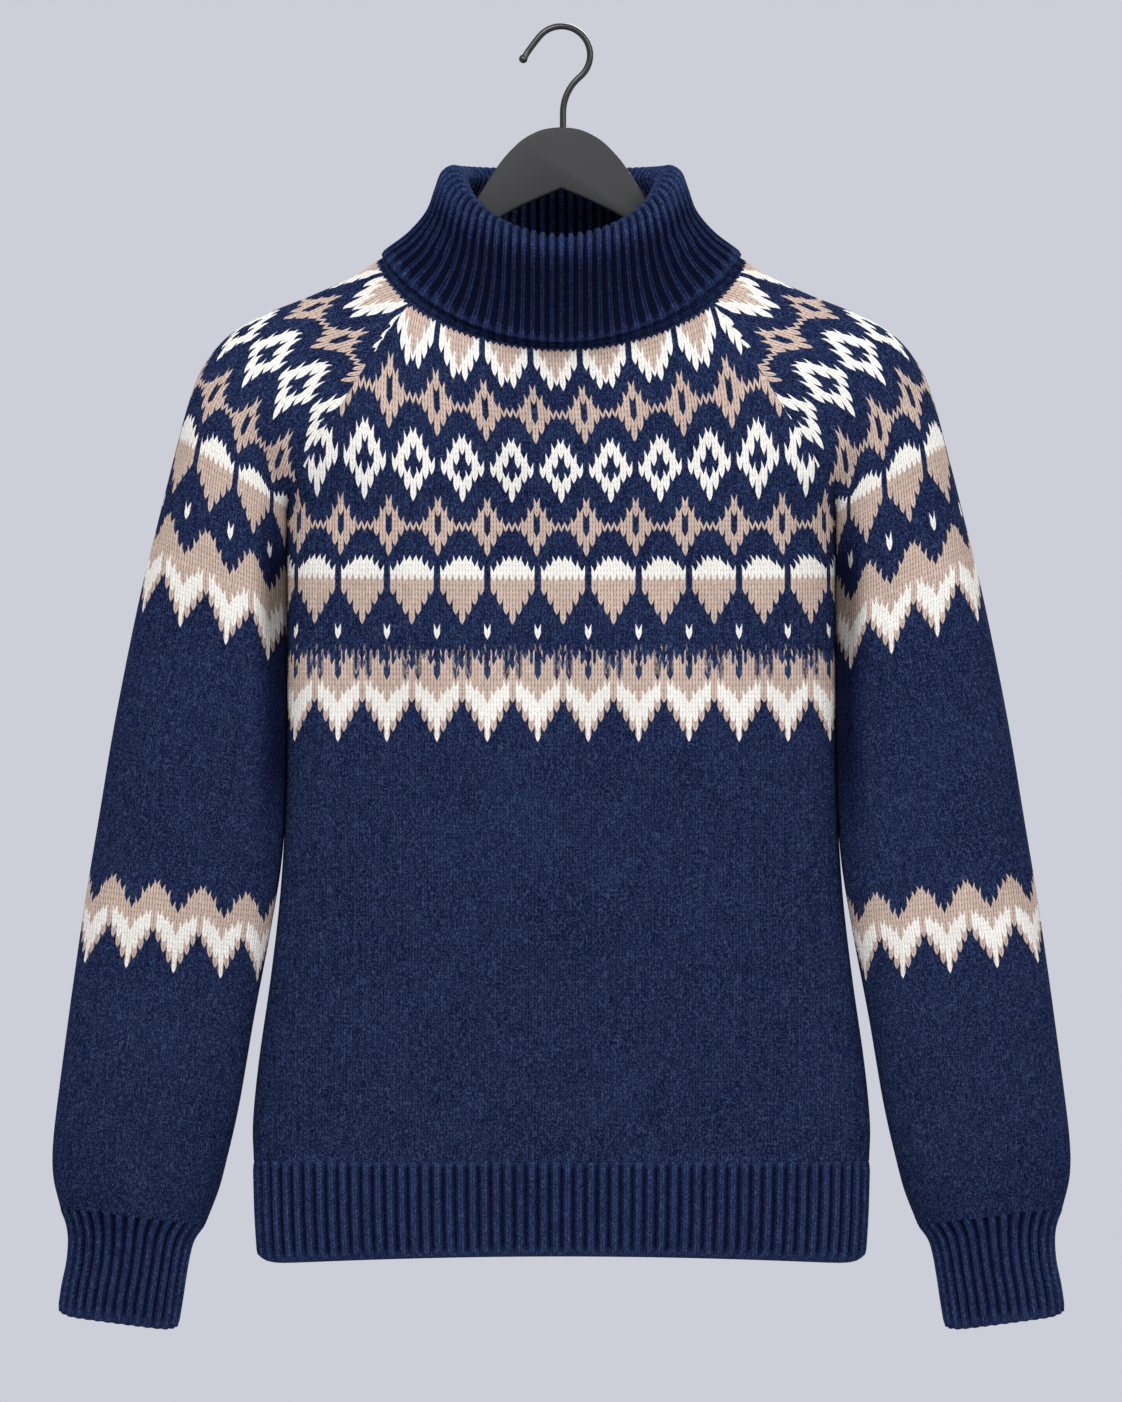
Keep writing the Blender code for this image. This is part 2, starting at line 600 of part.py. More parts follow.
def make_cuff(name, sign):
    rows = [dict(zip(ARM_NAMES, row)) for row in CUFF]
    outer = []
    for at, row in enumerate(rows):
        ring = cuff_ring(row, 0.0)
        middle = (ring[0] + ring[CUFF_RIBS]) / 2
        ring = ribbed(ring, lambda point: middle.lerp(point, 0.2))
        if at == len(rows) - 1:
            reach = (ring[0] - middle).length
            for point in ring:
                across = abs((Vector((point.x, 0.0, point.z)) - middle).length) / reach
                point.z += CUFF_CORNER * min(across, 1.0) ** 12
        outer.append(ring)
    inner = [cuff_ring(rows[at], RIB_WALL) for at in (5, 2, 0)]
    rings = outer + inner
    if sign < 0:
        rings = mirrored(rings)
    ribbed_ring(name, rings, plain=(6, 7, 8))


# ---- roll collar ----------------------------------------------------------------------------
def collar_ring(ring):
    """Points of one collar ring. Ribs keep their spacing at the middle and fan out at the
    sides where the ring is wider."""
    count = 2 * COLLAR_RIBS
    spread = max(0.0, 1.0 - COLLAR[3][0] / ring["side_x"])
    points = []
    for j in range(count):
        turn = 2 * math.pi * j / count
        s = (1.0 - spread) * math.sin(turn) + spread * math.sin(turn) ** 3
        theta = math.asin(min(max(s, -1.0), 1.0))
        if math.cos(turn) < -1e-9:
            theta = math.pi - theta
        points.append(oval_ring(ring, theta))
    return points


def make_roll_collar():
    rings = [collar_ring(dict(zip(COLLAR_NAMES, row))) for row in COLLAR]
    seam = collar_ring(NECK)
    above = rings[-1]
    seam_outer = [point + (up - point).normalized() * SEAM for point, up in zip(seam, above)]
    seam_inner = [point - neck_direction(point) * WALL for point in seam_outer]
    rings = [seam_inner] + rings + [seam_outer]
    marks = [0] + [row[COLLAR_NAMES.index("ribbed")] for row in COLLAR] + [0]
    raised = [list(ring) for ring in rings]
    count = 2 * COLLAR_RIBS
    for at, ribbed_here in enumerate(marks):
        if not ribbed_here:
            continue
        for j in range(count):
            along = rings[at + 1][j] - rings[at - 1][j]
            across = rings[at][(j + 1) % count] - rings[at][j - 1]
            out = across.cross(along).normalized()
            rise = RIB_RISE if j % 2 == 0 else -RIB_RISE
            raised[at][j] = rings[at][j] - out * rise
    ribbed_ring("roll_collar", raised, plain=(0, 10, 11, 12, 13, 14, 15, 16))


# ---- hanger and hook ------------------------------------------------------------------------
# Half outline of the hanger: the arched neck, the hidden arm and the under edge.
HANGER_NECK = ((0.0065, -0.0640), (0.0165, -0.0668), (0.0254, -0.0718), (0.0338, -0.0796),
               (0.0403, -0.0874), (0.0469, -0.0972), (0.0551, -0.1097), (0.0660, -0.1250),
               (0.0800, -0.1385), (0.0980, -0.1492), (0.1100, -0.1531), (0.1185, -0.1566))
HANGER_ARM_STAGES = (0.5, 1, 1.5, 2, 2.5, 3, 3.5)
HANGER_TIP = ((0.2085, -0.1990), (0.2150, -0.2050), (0.2160, -0.2110), (0.2100, -0.2150))
HANGER_UNDER = ((0.1950, -0.2095), (0.1700, -0.1985), (0.1400, -0.1860), (0.1100, -0.1730),
                (0.0850, -0.1580), (0.0620, -0.1395), (0.0396, -0.1225))
HANGER_NOTCH = (0.0, -0.1037)


def hanger_outline():
    """Closed outline in X and Z, the +X half and then its mirror image."""
    half = list(HANGER_NECK)
    for place in HANGER_ARM_STAGES:
        row = stage(CAP, CAP_NAMES, place)
        half.append((row["top_x"], row["top_z"] - ARM_CLEARANCE))
    half += list(HANGER_TIP) + list(HANGER_UNDER)
    return half + [HANGER_NOTCH] + [(-x, z) for x, z in reversed(half)]


def make_hanger():
    mesh = bmesh.new()
    outline = [mesh.verts.new((x, -HANGER_HALF, z)) for x, z in hanger_outline()]
    face = mesh.faces.new(outline)
    grown = bmesh.ops.extrude_face_region(mesh, geom=[face])
    moved = [item for item in grown["geom"] if isinstance(item, bmesh.types.BMVert)]
    bmesh.ops.translate(mesh, verts=moved, vec=(0.0, 2 * HANGER_HALF, 0.0))
    rims = [edge for edge in mesh.edges if abs(edge.verts[0].co.y - edge.verts[1].co.y) < 1e-6]
    bmesh.ops.bevel(mesh, geom=rims, offset=HANGER_BEVEL, affect="EDGES", segments=1,
                    profile=0.5, material=-1)
    piece = finish("hanger", mesh, CHARCOAL, 0.6)
    piece.data.set_sharp_from_angle(angle=math.radians(30))


def hook_path():
    """Middle line of the wire: flared tip, round bend, return bend and stem."""
    centre_z = -HOOK_RADIUS + HOOK_WIRE
    points = [(-0.0238, -0.0153), (-0.0224, -0.0128), (-0.0201, -0.0094)]
    for degrees in range(140, -31, -17):
        angle = math.radians(degrees)
        points.append((HOOK_RADIUS * math.cos(angle), centre_z + HOOK_RADIUS * math.sin(angle)))
    points += [(0.0108, -0.0335), (0.0055, -0.0392), (0.0024, -0.0440), (0.0012, -0.0490),
               (0.0010, -0.0560), (0.0010, HANGER_TOP + SEAM)]
    return [Vector((x, 0.0, z)) for x, z in points]


def make_hook():
    """The wire, swept along its middle line, with a small ball at the tip."""
    sides = 8
    path = hook_path()
    mesh = bmesh.new()
    rings = []
    for at, point in enumerate(path):
        along = (path[min(at + 1, len(path) - 1)] - path[max(at - 1, 0)]).normalized()
        if at == len(path) - 1:
            along = Vector((0.0, 0.0, -1.0))
        across = along.cross(Vector((0.0, 1.0, 0.0)))
        radius = HOOK_WIRE * (1.25 if at == 0 else 1.0)
        ring = []
        for k in range(sides):
            angle = 2 * math.pi * k / sides
            reach = across * math.cos(angle) + Vector((0.0, 1.0, 0.0)) * math.sin(angle)
            ring.append(mesh.verts.new(point + reach * radius))
        rings.append(ring)
    for first, second in zip(rings, rings[1:]):
        link_faces(mesh, first, second, close=True)
    mesh.faces.new(rings[0])
    mesh.faces.new(rings[-1])
    finish("hook", mesh, BLACK, 0.35)


for old in list(bpy.data.objects):
    bpy.data.objects.remove(old, do_unlink=True)
make_front_back_and_sleeves()
make_hem_rib()
make_cuff("cuff_left", 1)
make_cuff("cuff_right", -1)
make_roll_collar()
make_hanger()
make_hook()
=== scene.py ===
"""Fair isle jumper with a roll collar on a coat hanger.

Metres, +Z up, front towards -Y, the wearer's left towards +X, origin at the inside top of the
hook. Each knitted piece is laid on the form of its solid, stitch by stitch.
"""
import math
from functools import partial

import bmesh
import bpy
import numpy as np
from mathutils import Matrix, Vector


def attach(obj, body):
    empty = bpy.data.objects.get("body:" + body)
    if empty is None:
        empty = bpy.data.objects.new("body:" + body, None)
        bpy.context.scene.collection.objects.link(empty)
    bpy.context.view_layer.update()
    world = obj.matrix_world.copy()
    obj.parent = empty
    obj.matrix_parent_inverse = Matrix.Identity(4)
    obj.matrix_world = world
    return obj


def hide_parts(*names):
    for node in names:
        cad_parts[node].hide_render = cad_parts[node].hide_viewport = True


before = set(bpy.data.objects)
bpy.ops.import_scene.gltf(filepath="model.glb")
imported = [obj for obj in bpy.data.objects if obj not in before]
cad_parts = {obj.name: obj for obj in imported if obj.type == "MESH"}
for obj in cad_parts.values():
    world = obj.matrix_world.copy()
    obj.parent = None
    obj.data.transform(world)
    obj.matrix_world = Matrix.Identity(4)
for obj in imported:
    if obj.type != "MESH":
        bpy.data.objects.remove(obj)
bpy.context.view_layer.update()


# ---- front and back -------------------------------------------------------------------------
# The two body panels, knitted in double-knitting wool: navy with cream and taupe bands worked
# into the yoke. They are joined to the sleeves along the raglan seams and to the hem rib below.
def table(names, *rows):
    """Rows of sizes, kept as one array for each named column."""
    return dict(zip(names.split(), np.array(rows, float).T))


def read(sizes, name, place):
    """A column of a table read as one smooth curve; place counts its rows from 0."""
    values = sizes[name]
    values = np.concatenate(([2 * values[0] - values[1]], values, [2 * values[-1] - values[-2]]))
    place = np.clip(place, 0.0, len(values) - 3.0)
    start = np.minimum(np.floor(place).astype(int), len(values) - 4)
    t = place - start
    before, a, b, after = (values[start + k] for k in range(4))
    slope_a, slope_b = (b - before) / 2, (after - a) / 2
    return (a * (2 * t ** 3 - 3 * t ** 2 + 1) + slope_a * (t ** 3 - 2 * t ** 2 + t)
            + b * (3 * t ** 2 - 2 * t ** 3) + slope_b * (t ** 3 - t ** 2))


# The neck seam's oval, and how a yoke row falls from the raglan seam to its middle.
NECK = {"side_x": 0.1177, "side_z": -0.1497, "front_y": 0.0600, "front_z": -0.2083,
        "back_y": 0.0520, "back_z": -0.1470}
ROW_FALL = 1.28
ARMPIT = 7                    # stages of the yoke, from the neck (0) to the armpit (7)
SIDES = {-1: "front", 1: "back"}
CAP = table(
    "top_x top_z front_x front_z back_x back_z front_turn back_turn front_deep back_deep square",
    (0.1177, -0.1497, 0.0972, -0.1779, 0.1000, -0.1483, 34.3, 31.8, 0.0600, 0.0520, 2.00),
    (0.1362, -0.1615, 0.1121, -0.1960, 0.1150, -0.1720, 47.0, 45.0, 0.0520, 0.0485, 2.05),
    (0.1635, -0.1739, 0.1264, -0.2187, 0.1285, -0.1985, 60.0, 58.0, 0.0475, 0.0460, 2.10),
    (0.1908, -0.1849, 0.1394, -0.2395, 0.1412, -0.2255, 75.0, 73.0, 0.0445, 0.0440, 2.20),
    (0.2142, -0.1979, 0.1531, -0.2616, 0.1545, -0.2520, 92.0, 90.0, 0.0425, 0.0425, 2.30),
    (0.2304, -0.2161, 0.1661, -0.2818, 0.1667, -0.2765, 112.0, 111.0, 0.0405, 0.0405, 2.40),
    (0.2402, -0.2376, 0.1752, -0.2993, 0.1754, -0.2975, 140.0, 139.0, 0.0395, 0.0395, 2.50),
    (0.2493, -0.2701, 0.1784, -0.3136, 0.1784, -0.3136, 180.0, 180.0, 0.0395, 0.0395, 2.60))
YOKE = table(
    "front_z front_y back_z back_y square",
    (-0.2083, 0.0600, -0.1470, 0.0520, 2.00),
    (-0.2239, 0.0588, -0.1700, 0.0530, 2.15),
    (-0.2434, 0.0573, -0.1975, 0.0538, 2.30),
    (-0.2603, 0.0560, -0.2260, 0.0542, 2.40),
    (-0.2792, 0.0547, -0.2530, 0.0543, 2.50),
    (-0.2935, 0.0538, -0.2775, 0.0540, 2.60),
    (-0.3058, 0.0531, -0.2985, 0.0534, 2.70),
    (-0.3169, 0.0525, -0.3145, 0.0525, 2.80))
BODY = table(
    "z half_width half_depth fall",
    (-0.3136, 0.1784, 0.0525, 0.0033),
    (-0.3600, 0.1781, 0.0505, 0.0016),
    (-0.4300, 0.1780, 0.0480, 0.0004),
    (-0.5000, 0.1788, 0.0462, 0.0000),
    (-0.5600, 0.1822, 0.0450, 0.0000),
    (-0.6150, 0.1884, 0.0439, 0.0000),
    (-0.6700, 0.1962, 0.0427, 0.0000),
    (-0.7100, 0.2001, 0.0414, 0.0000),
    (-0.7352, 0.1996, 0.0400, 0.0000))
BODY_SQUARE = 2.8
HEM_STAGE = ARMPIT + len(BODY["z"]) - 1
# Soft troughs in the cloth: from one point to another, half width, depth, -1 front or 1 back.
# They fade out near the sides, and their ends have a share of the depth.
FOLD_FADE, FOLD_ENDS = 0.030, 0.35
FOLDS = (
    (0.1960, -0.2680, 0.1800, -0.3120, 0.0075, 0.0060, -1),
    (-0.1965, -0.2665, -0.1800, -0.3120, 0.0080, 0.0055, -1),
    (0.1950, -0.2640, 0.1800, -0.3120, 0.0080, 0.0050, 1),
    (-0.1955, -0.2690, -0.1800, -0.3120, 0.0075, 0.0055, 1),
    (-0.0540, -0.5000, -0.0620, -0.7200, 0.0160, 0.0018, -1),
    (0.0700, -0.5400, 0.0820, -0.7300, 0.0180, 0.0015, -1),
    (-0.1330, -0.4300, -0.1500, -0.6900, 0.0140, 0.0020, -1),
    (0.1380, -0.4700, 0.1520, -0.7100, 0.0150, 0.0018, -1),
    (0.1885, -0.3160, 0.1870, -0.4300, 0.0080, 0.0050, -1),
    (-0.1885, -0.3160, -0.1870, -0.4200, 0.0080, 0.0055, -1),
    (0.1885, -0.3160, 0.1870, -0.4100, 0.0080, 0.0045, 1),
    (-0.1885, -0.3160, -0.1870, -0.4300, 0.0080, 0.0040, 1),
    (0.0450, -0.3000, 0.0700, -0.6900, 0.0200, 0.0024, 1),
    (-0.0700, -0.3400, -0.0900, -0.7100, 0.0170, 0.0020, 1),
    (0.1350, -0.3600, 0.1500, -0.6200, 0.0150, 0.0022, 1),
    (0.2900, -0.5700, 0.2300, -0.6150, 0.0110, 0.0020, -1),
    (-0.2950, -0.5900, -0.2350, -0.6250, 0.0120, 0.0018, -1),
    (0.2550, -0.6900, 0.2700, -0.7550, 0.0090, 0.0018, -1),
    (-0.2650, -0.6850, -0.2720, -0.7550, 0.0090, 0.0020, -1),
    (0.2850, -0.5500, 0.2250, -0.6000, 0.0120, 0.0026, 1),
    (-0.2850, -0.5750, -0.2300, -0.6300, 0.0110, 0.0024, 1))

STEPS = 8                     # surface rings for each stage
ACROSS = 120                  # surface points across a ring, an even number
STITCH = 0.0040               # width of a stitch
ROW = 0.00315                 # height of a row
TIP_Z = -0.4631               # the cream zigzag's lowest point, at the front middle: row 0
# Rows and their heights, in rows: the first taupe row above the zigzag is a taller one.
BAND_ROWS = ((-200, 8, 12, 13, 21, 200), (-200, 8.0, 11.35, 12.65, 21.0, 200))
NECK_ROW = 81
HEM_ROW = -86
CLOTH = 0.0016                # thickness of the knitted cloth
LEG_RISE = (-0.00035, 0.00045, 0.00000, 0.00045)   # a stitch's four columns, out of the cloth
LEG_LEAN = (1.35, 0.60, 0.0, 0.60)                  # and how many rows each is drawn up
LEAN_ROOM, RISE_ROOM = 0.0030, 0.0015               # room at a seam in which each fades out


def unit(vectors):
    """The same directions, each of length 1."""
    return vectors / np.maximum(np.linalg.norm(vectors, axis=-1, keepdims=True), 1e-12)


def stages_to(last):
    """Stages from the neck to the last one, with a ring of the surface at each."""
    return np.arange(0.0, last + 0.001, 1.0 / STEPS)


def even(points, count):
    """The same line with its points at equal distances."""
    steps = np.linalg.norm(np.diff(points, axis=0), axis=1)
    along = np.concatenate(([0.0], np.cumsum(steps)))
    at = np.linspace(0.0, along[-1], count + 1)
    return np.stack([np.interp(at, along, points[:, k]) for k in range(3)], axis=1)


def raglan(place, side):
    """Point of the +X raglan seam, front (-1) or back (1), at a stage of the yoke."""
    name = SIDES[side]
    turn = math.radians(min(read(CAP, name + "_turn", place), 180.0))
    deep = 0.0
    if place < ARMPIT:
        power = 2 / read(CAP, "square", place)
        deep = read(CAP, name + "_deep", place) * abs(math.sin(turn)) ** power
    return read(CAP, name + "_x", place), side * deep, read(CAP, name + "_z", place)


def panel_ring(place, side):
    """One line across the front or back, from the -X seam to the +X one."""
    name = SIDES[side]
    if place <= ARMPIT:
        seam_x, seam_y, seam_z = raglan(place, side)
        deep, middle_z, square = (read(YOKE, column, place)
                                  for column in (name + "_y", name + "_z", "square"))
        wide = seam_x / (1.0 - (abs(seam_y) / deep) ** square) ** (1.0 / square)
    else:
        wide, deep, seam_z = (read(BODY, column, place - ARMPIT)
                              for column in ("half_width", "half_depth", "z"))
        seam_x, square = wide, BODY_SQUARE
        middle_z = seam_z - read(BODY, "fall", place - ARMPIT)
    edge = math.asin(min(seam_x / wide, 1.0))
    theta = np.linspace(-edge, edge, 4 * ACROSS + 1)
    x = wide * np.sin(theta)
    y = side * deep * np.maximum(1.0 - np.abs(x / wide) ** square, 0.0) ** (1.0 / square)
    end = math.cos(edge) ** ROW_FALL
    z = seam_z + (middle_z - seam_z) * (np.cos(theta) ** ROW_FALL - end) / (1.0 - end)
    return even(np.stack((x, y, z), axis=1), ACROSS)


def pressed(points):
    """Press the folds into the cloth."""
    side = np.where(points[..., 1] < 0, -1, 1)
    hold = np.minimum(1.0, np.abs(points[..., 1]) / FOLD_FADE)
    sunk = np.zeros(points.shape[:-1])
    for start_x, start_z, end_x, end_z, width, depth, facing in FOLDS:
        run = np.array((end_x - start_x, end_z - start_z))
        here = points[..., (0, 2)] - (start_x, start_z)
        along = np.clip(here @ run / (run @ run), 0.0, 1.0)
        away = np.linalg.norm(here - along[..., None] * run, axis=-1) / width
        sunk += ((side == facing) * depth * np.exp(-away ** 2)
                 * (FOLD_ENDS + (1 - FOLD_ENDS) * np.sin(np.pi * along)))
    moved = points.copy()
    moved[..., 1] -= side * sunk * hold
    return moved


def surface(rings, outward):
    """A stack of rings with the folds pressed in, and its outward normals."""
    points = np.array(rings)
    hold = np.clip(np.arange(len(points)) / STEPS, 0.0, 1.0)[:, None, None]
    points = points + (pressed(points) - points) * hold
    normals = unit(np.cross(np.gradient(points, axis=1), np.gradient(points, axis=0)))
    middle = normals[len(points) // 2, ACROSS // 2]
    if middle @ np.array(outward) < 0:
        normals = -normals
    return points, normals


def between(lines, where):
    """Points between a grid's lines; where counts the lines from 0, for each of their points."""
    where = np.clip(where, 0.0, len(lines) - 1.001)
    low = where.astype(int)
    part = (where - low)[..., None]
    column = np.arange(lines.shape[1])
    return lines[low, column] * (1 - part) + lines[low + 1, column] * part


def lay_columns(points, normals, places, arcs):
    """Grid points where knitting columns, at distances arcs from the middle, cross the rows."""
    lines, facing = between(points, places * STEPS), between(normals, places * STEPS)
    steps = np.linalg.norm(np.diff(lines, axis=1), axis=2)
    along = np.concatenate((np.zeros((len(lines), 1)), np.cumsum(steps, axis=1)), axis=1)
    along -= along[:, ACROSS // 2:ACROSS // 2 + 1]
    grid = np.empty(arcs.shape + (3,))
    out = np.empty_like(grid)
    at = np.clip(arcs, along[:, :1], along[:, -1:])
    for i in range(len(lines)):
        for k in range(3):
            grid[i, :, k] = np.interp(at[i], along[i], lines[i, :, k])
            out[i, :, k] = np.interp(at[i], along[i], facing[i, :, k])
    room = np.minimum(at - along[:, :1], along[:, -1:] - at)
    return grid, unit(out), room


def stitched(grid, out, room):
    """Raise the two legs of each stitch and draw its sides up, fading out at the edges."""
    rows, columns = room.shape
    line = np.arange(rows)[:, None]
    fade = (np.clip(room / LEAN_ROOM, 0, 1) * np.clip(line / 2, 0, 1)
            * np.clip((rows - 1 - line) / 2, 0, 1))
    lean = np.resize(LEG_LEAN, columns) * fade
    rise = np.resize(LEG_RISE, columns) * np.clip(room / RISE_ROOM, 0, 1)
    return between(grid, line - lean) + out * rise[..., None]


# Charts of the yoke: C cream, T taupe, B light navy, E cream edged with taupe, M marled, m a few
# marled strands, e light navy edged with strands, v two strands. Each repeats every eight stitches.
# The number is the row of its lowest line, and the letter column at index 3 lies on the middle of
# every repeat (0) or half way between (4).
PETAL = (72, 0, ("CTTTTTC.", "CTTTTTC.", "CCTTTCC.", "CCTTTCC.", ".CCTCC..", ".CCTCC..", "..CCC...",
                 "..C.C..."))
LINKED = ("...T....", "...T....", "..TTT...", "..T.T...", ".TT.TT..", "TTT.TTTT", ".TT.TT..",
          "..TTT...", "..TTT...", "...T....", "...T....")
DIAMOND = (49, 0, ("...C....", "..CCC...", "..CCC...", ".CC.CC..", ".CC.CC..", "CC...CC.",
                   "CC...CC.", ".CC.CC..", "..CCC...", "..CCC...", "...C....", "...C...."))
ACORN = (24, 0, ("..CCC...", ".CCCCC..", "CCCCCCC.", "CCCCCCC.", "TTTTTTT.", "TTTTTTT.", "TTTTTTT.",
                 ".TTTTT..", ".TTTTT..", "..TTT...", "..TTT...", "...T....", "...T...."))
LICE = (21, 4, ("...C....", "...C...."))
ZIGZAG = ("CTTTTTCT", "CCTTTCCT", "CCCTCCCT", "CCCTCCCT", "TCCCCCT.", "TCCCCCT.", ".TCCCT..",
          ".TCCCT..", "..TCT...", "..TCT...", "...E....", "...E....")
FEATHERED = ("...v...v", "vme.emv.", "mTe.eTme", "MTTeTTMm", "MTTBTTMT", "MTTBTTMT", "TTTTTTTT")
YOKE_CHARTS = (PETAL, (61, 4, LINKED), DIAMOND, (38, 4, LINKED), ACORN, LICE)
BODY_CHARTS = YOKE_CHARTS + ((0, 4, FEATHERED + ZIGZAG),)
NAVY, CREAM, TAUPE, BLUE, MARL, INSIDE = range(6)
# For each letter, its ground, the colour of its strands, and how often each of a stitch's four
# strands has that colour.
STITCHES = {"C": (CREAM, CREAM, (0, 0, 0, 0)), "T": (TAUPE, TAUPE, (0, 0, 0, 0)),
            "B": (BLUE, BLUE, (0, 0, 0, 0)), "E": (CREAM, TAUPE, (1, 0, 0, 1)),
            "M": (BLUE, MARL, (0.8, 0.4, 0.4, 0.8)), "m": (BLUE, MARL, (0.6, 0.2, 0.2, 0.6)),
            "e": (BLUE, TAUPE, (0.6, 0, 0, 0.6)), "v": (NAVY, MARL, (0.7, 0, 0, 0.7))}


def charted(charts, row_numbers, columns, seed):
    """Colour of every face of a knitted grid; columns holds each stitch's column number."""
    chance = np.random.default_rng(seed)
    colours = np.zeros((len(row_numbers), 4 * len(columns)), int)
    for lowest, middle, lines in charts:
        for up, text in enumerate(reversed(lines)):
            if lowest + up not in row_numbers:
                continue
            i = row_numbers.index(lowest + up)
            for j, number in enumerate(columns):
                letter = text[int(number - middle + 3) % 8]
                if letter != ".":
                    ground, strand, share = STITCHES[letter]
                    colours[i, 4 * j:4 * j + 4] = np.where(chance.random(4) < share, strand, ground)
    return colours


def lay_grid(mesh, points, colours=None, painted_depths=None):
    """Add a grid of quads on an array of points, with its stitch numbers as UV and, in its 'deep'
    attribute, the painted shade of each vertex. Each vertex remembers whether it is on the grid's
    first, last or another row, and in which half."""
    rows, columns = points.shape[0] - 1, points.shape[1] - 1
    stitches = mesh.loops.layers.uv.verify()
    rim = mesh.verts.layers.int.get("rim") or mesh.verts.layers.int.new("rim")
    deep = mesh.verts.layers.float.get("deep") or mesh.verts.layers.float.new("deep")
    made = bmesh.ops.create_grid(mesh, x_segments=columns, y_segments=rows, size=1.0)["verts"]
    place = {vert: (round((1.0 - vert.co.y) / 2.0 * rows),
                    round((vert.co.x + 1.0) / 2.0 * columns)) for vert in made}
    for face in {face for vert in made for face in vert.link_faces}:
        face.smooth = True
        spots = [place[loop.vert] for loop in face.loops]
        for loop, (i, j) in zip(face.loops, spots):
            loop[stitches].uv = (j / 4.0, rows - i)
        if colours is None:
            face.material_index = INSIDE
        else:
            face.material_index = int(colours[min(s[0] for s in spots), min(s[1] for s in spots)])
    for vert, (i, j) in place.items():
        vert.co = points[i, j]
        vert[deep] = 0.0 if painted_depths is None else painted_depths[i, j]
        vert[rim] = 10 * (0 if i == 0 else 2 if i == rows else 1) + (1 if 2 * j > columns else 0)
    bmesh.ops.remove_doubles(mesh, verts=made, dist=4e-6)


def lay_inside(mesh, grid, out, kept=()):
    """Add the plain inner skin, on every fourth line and column, and on the lines to be kept."""
    lines = np.unique(np.append(np.arange(0, len(grid), 4), (*kept, len(grid) - 1)))
    lay_grid(mesh, grid[lines][:, ::4] - out[lines][:, ::4] * CLOTH)


def make_piece(mesh, name, materials, closed=True):
    """A finished piece; a closed mesh's faces are turned outwards."""
    if closed:
        bmesh.ops.recalc_face_normals(mesh, faces=mesh.faces[:])
    data = bpy.data.meshes.new(name)
    mesh.to_mesh(data)
    mesh.free()
    for material in materials:
        data.materials.append(material)
    piece = bpy.data.objects.new(name, data)
    bpy.context.collection.objects.link(piece)
    return piece


def close_cloth(mesh, name, materials):
    """Join the outer and inner skins along each edge, and make the piece of them."""
    bmesh.ops.dissolve_degenerate(mesh, edges=mesh.edges[:], dist=1e-6)
    rim = mesh.verts.layers.int["rim"]
    sides = {}
    for edge in mesh.edges:
        if edge.is_boundary:
            marks = [vert[rim] for vert in edge.verts]
            rows = {mark // 10 for mark in marks}
            key = "top" if rows == {0} else "bottom" if rows == {2} else max(m % 10 for m in marks)
            sides.setdefault(key, []).append(edge)
    for edges in sides.values():
        for edge in edges:
            edge.smooth = False
        bmesh.ops.bridge_loops(mesh, edges=edges)
    return make_piece(mesh, name, materials)


# The gaps round a strand: how narrow those beside it, between rows and at its corners are, and how
# deep each is, for the bump and for the painted shade in the gaps.
BESIDE, BETWEEN, CORNER = (3.0, 0.45), (4.0, 0.20), (1.5, 0.55)
# Scale and detail of the yarn's fibres, of its curled fuzz and of the cloth's soft unevenness.
FIBRE, FUZZ, UNEVEN = (1500.0, 2.0), (500.0, 0.0), (16.0, 1.0)
# A curl's brightness on its crest, how fast it falls beside it, and its floor between curls.
CURL_TOP, CURL_FALL, CURL_FLOOR = 1.32, 9.0, -0.6
FIBRE_TONE, UNEVEN_TONE = 0.6, 0.16           # how much each lightens and darkens the yarn
FIBRE_RISE, CURL_RISE = 0.25, 0.30            # how far each stands out, beside a gap's depth


def make_finish(name, looks):
    """A finish whose shader has the given looks."""
    material = bpy.data.materials.new(name)
    material.use_nodes = True
    for socket, value in looks.items():
        material.node_tree.nodes["Principled BSDF"].inputs[socket].default_value = value
    return material


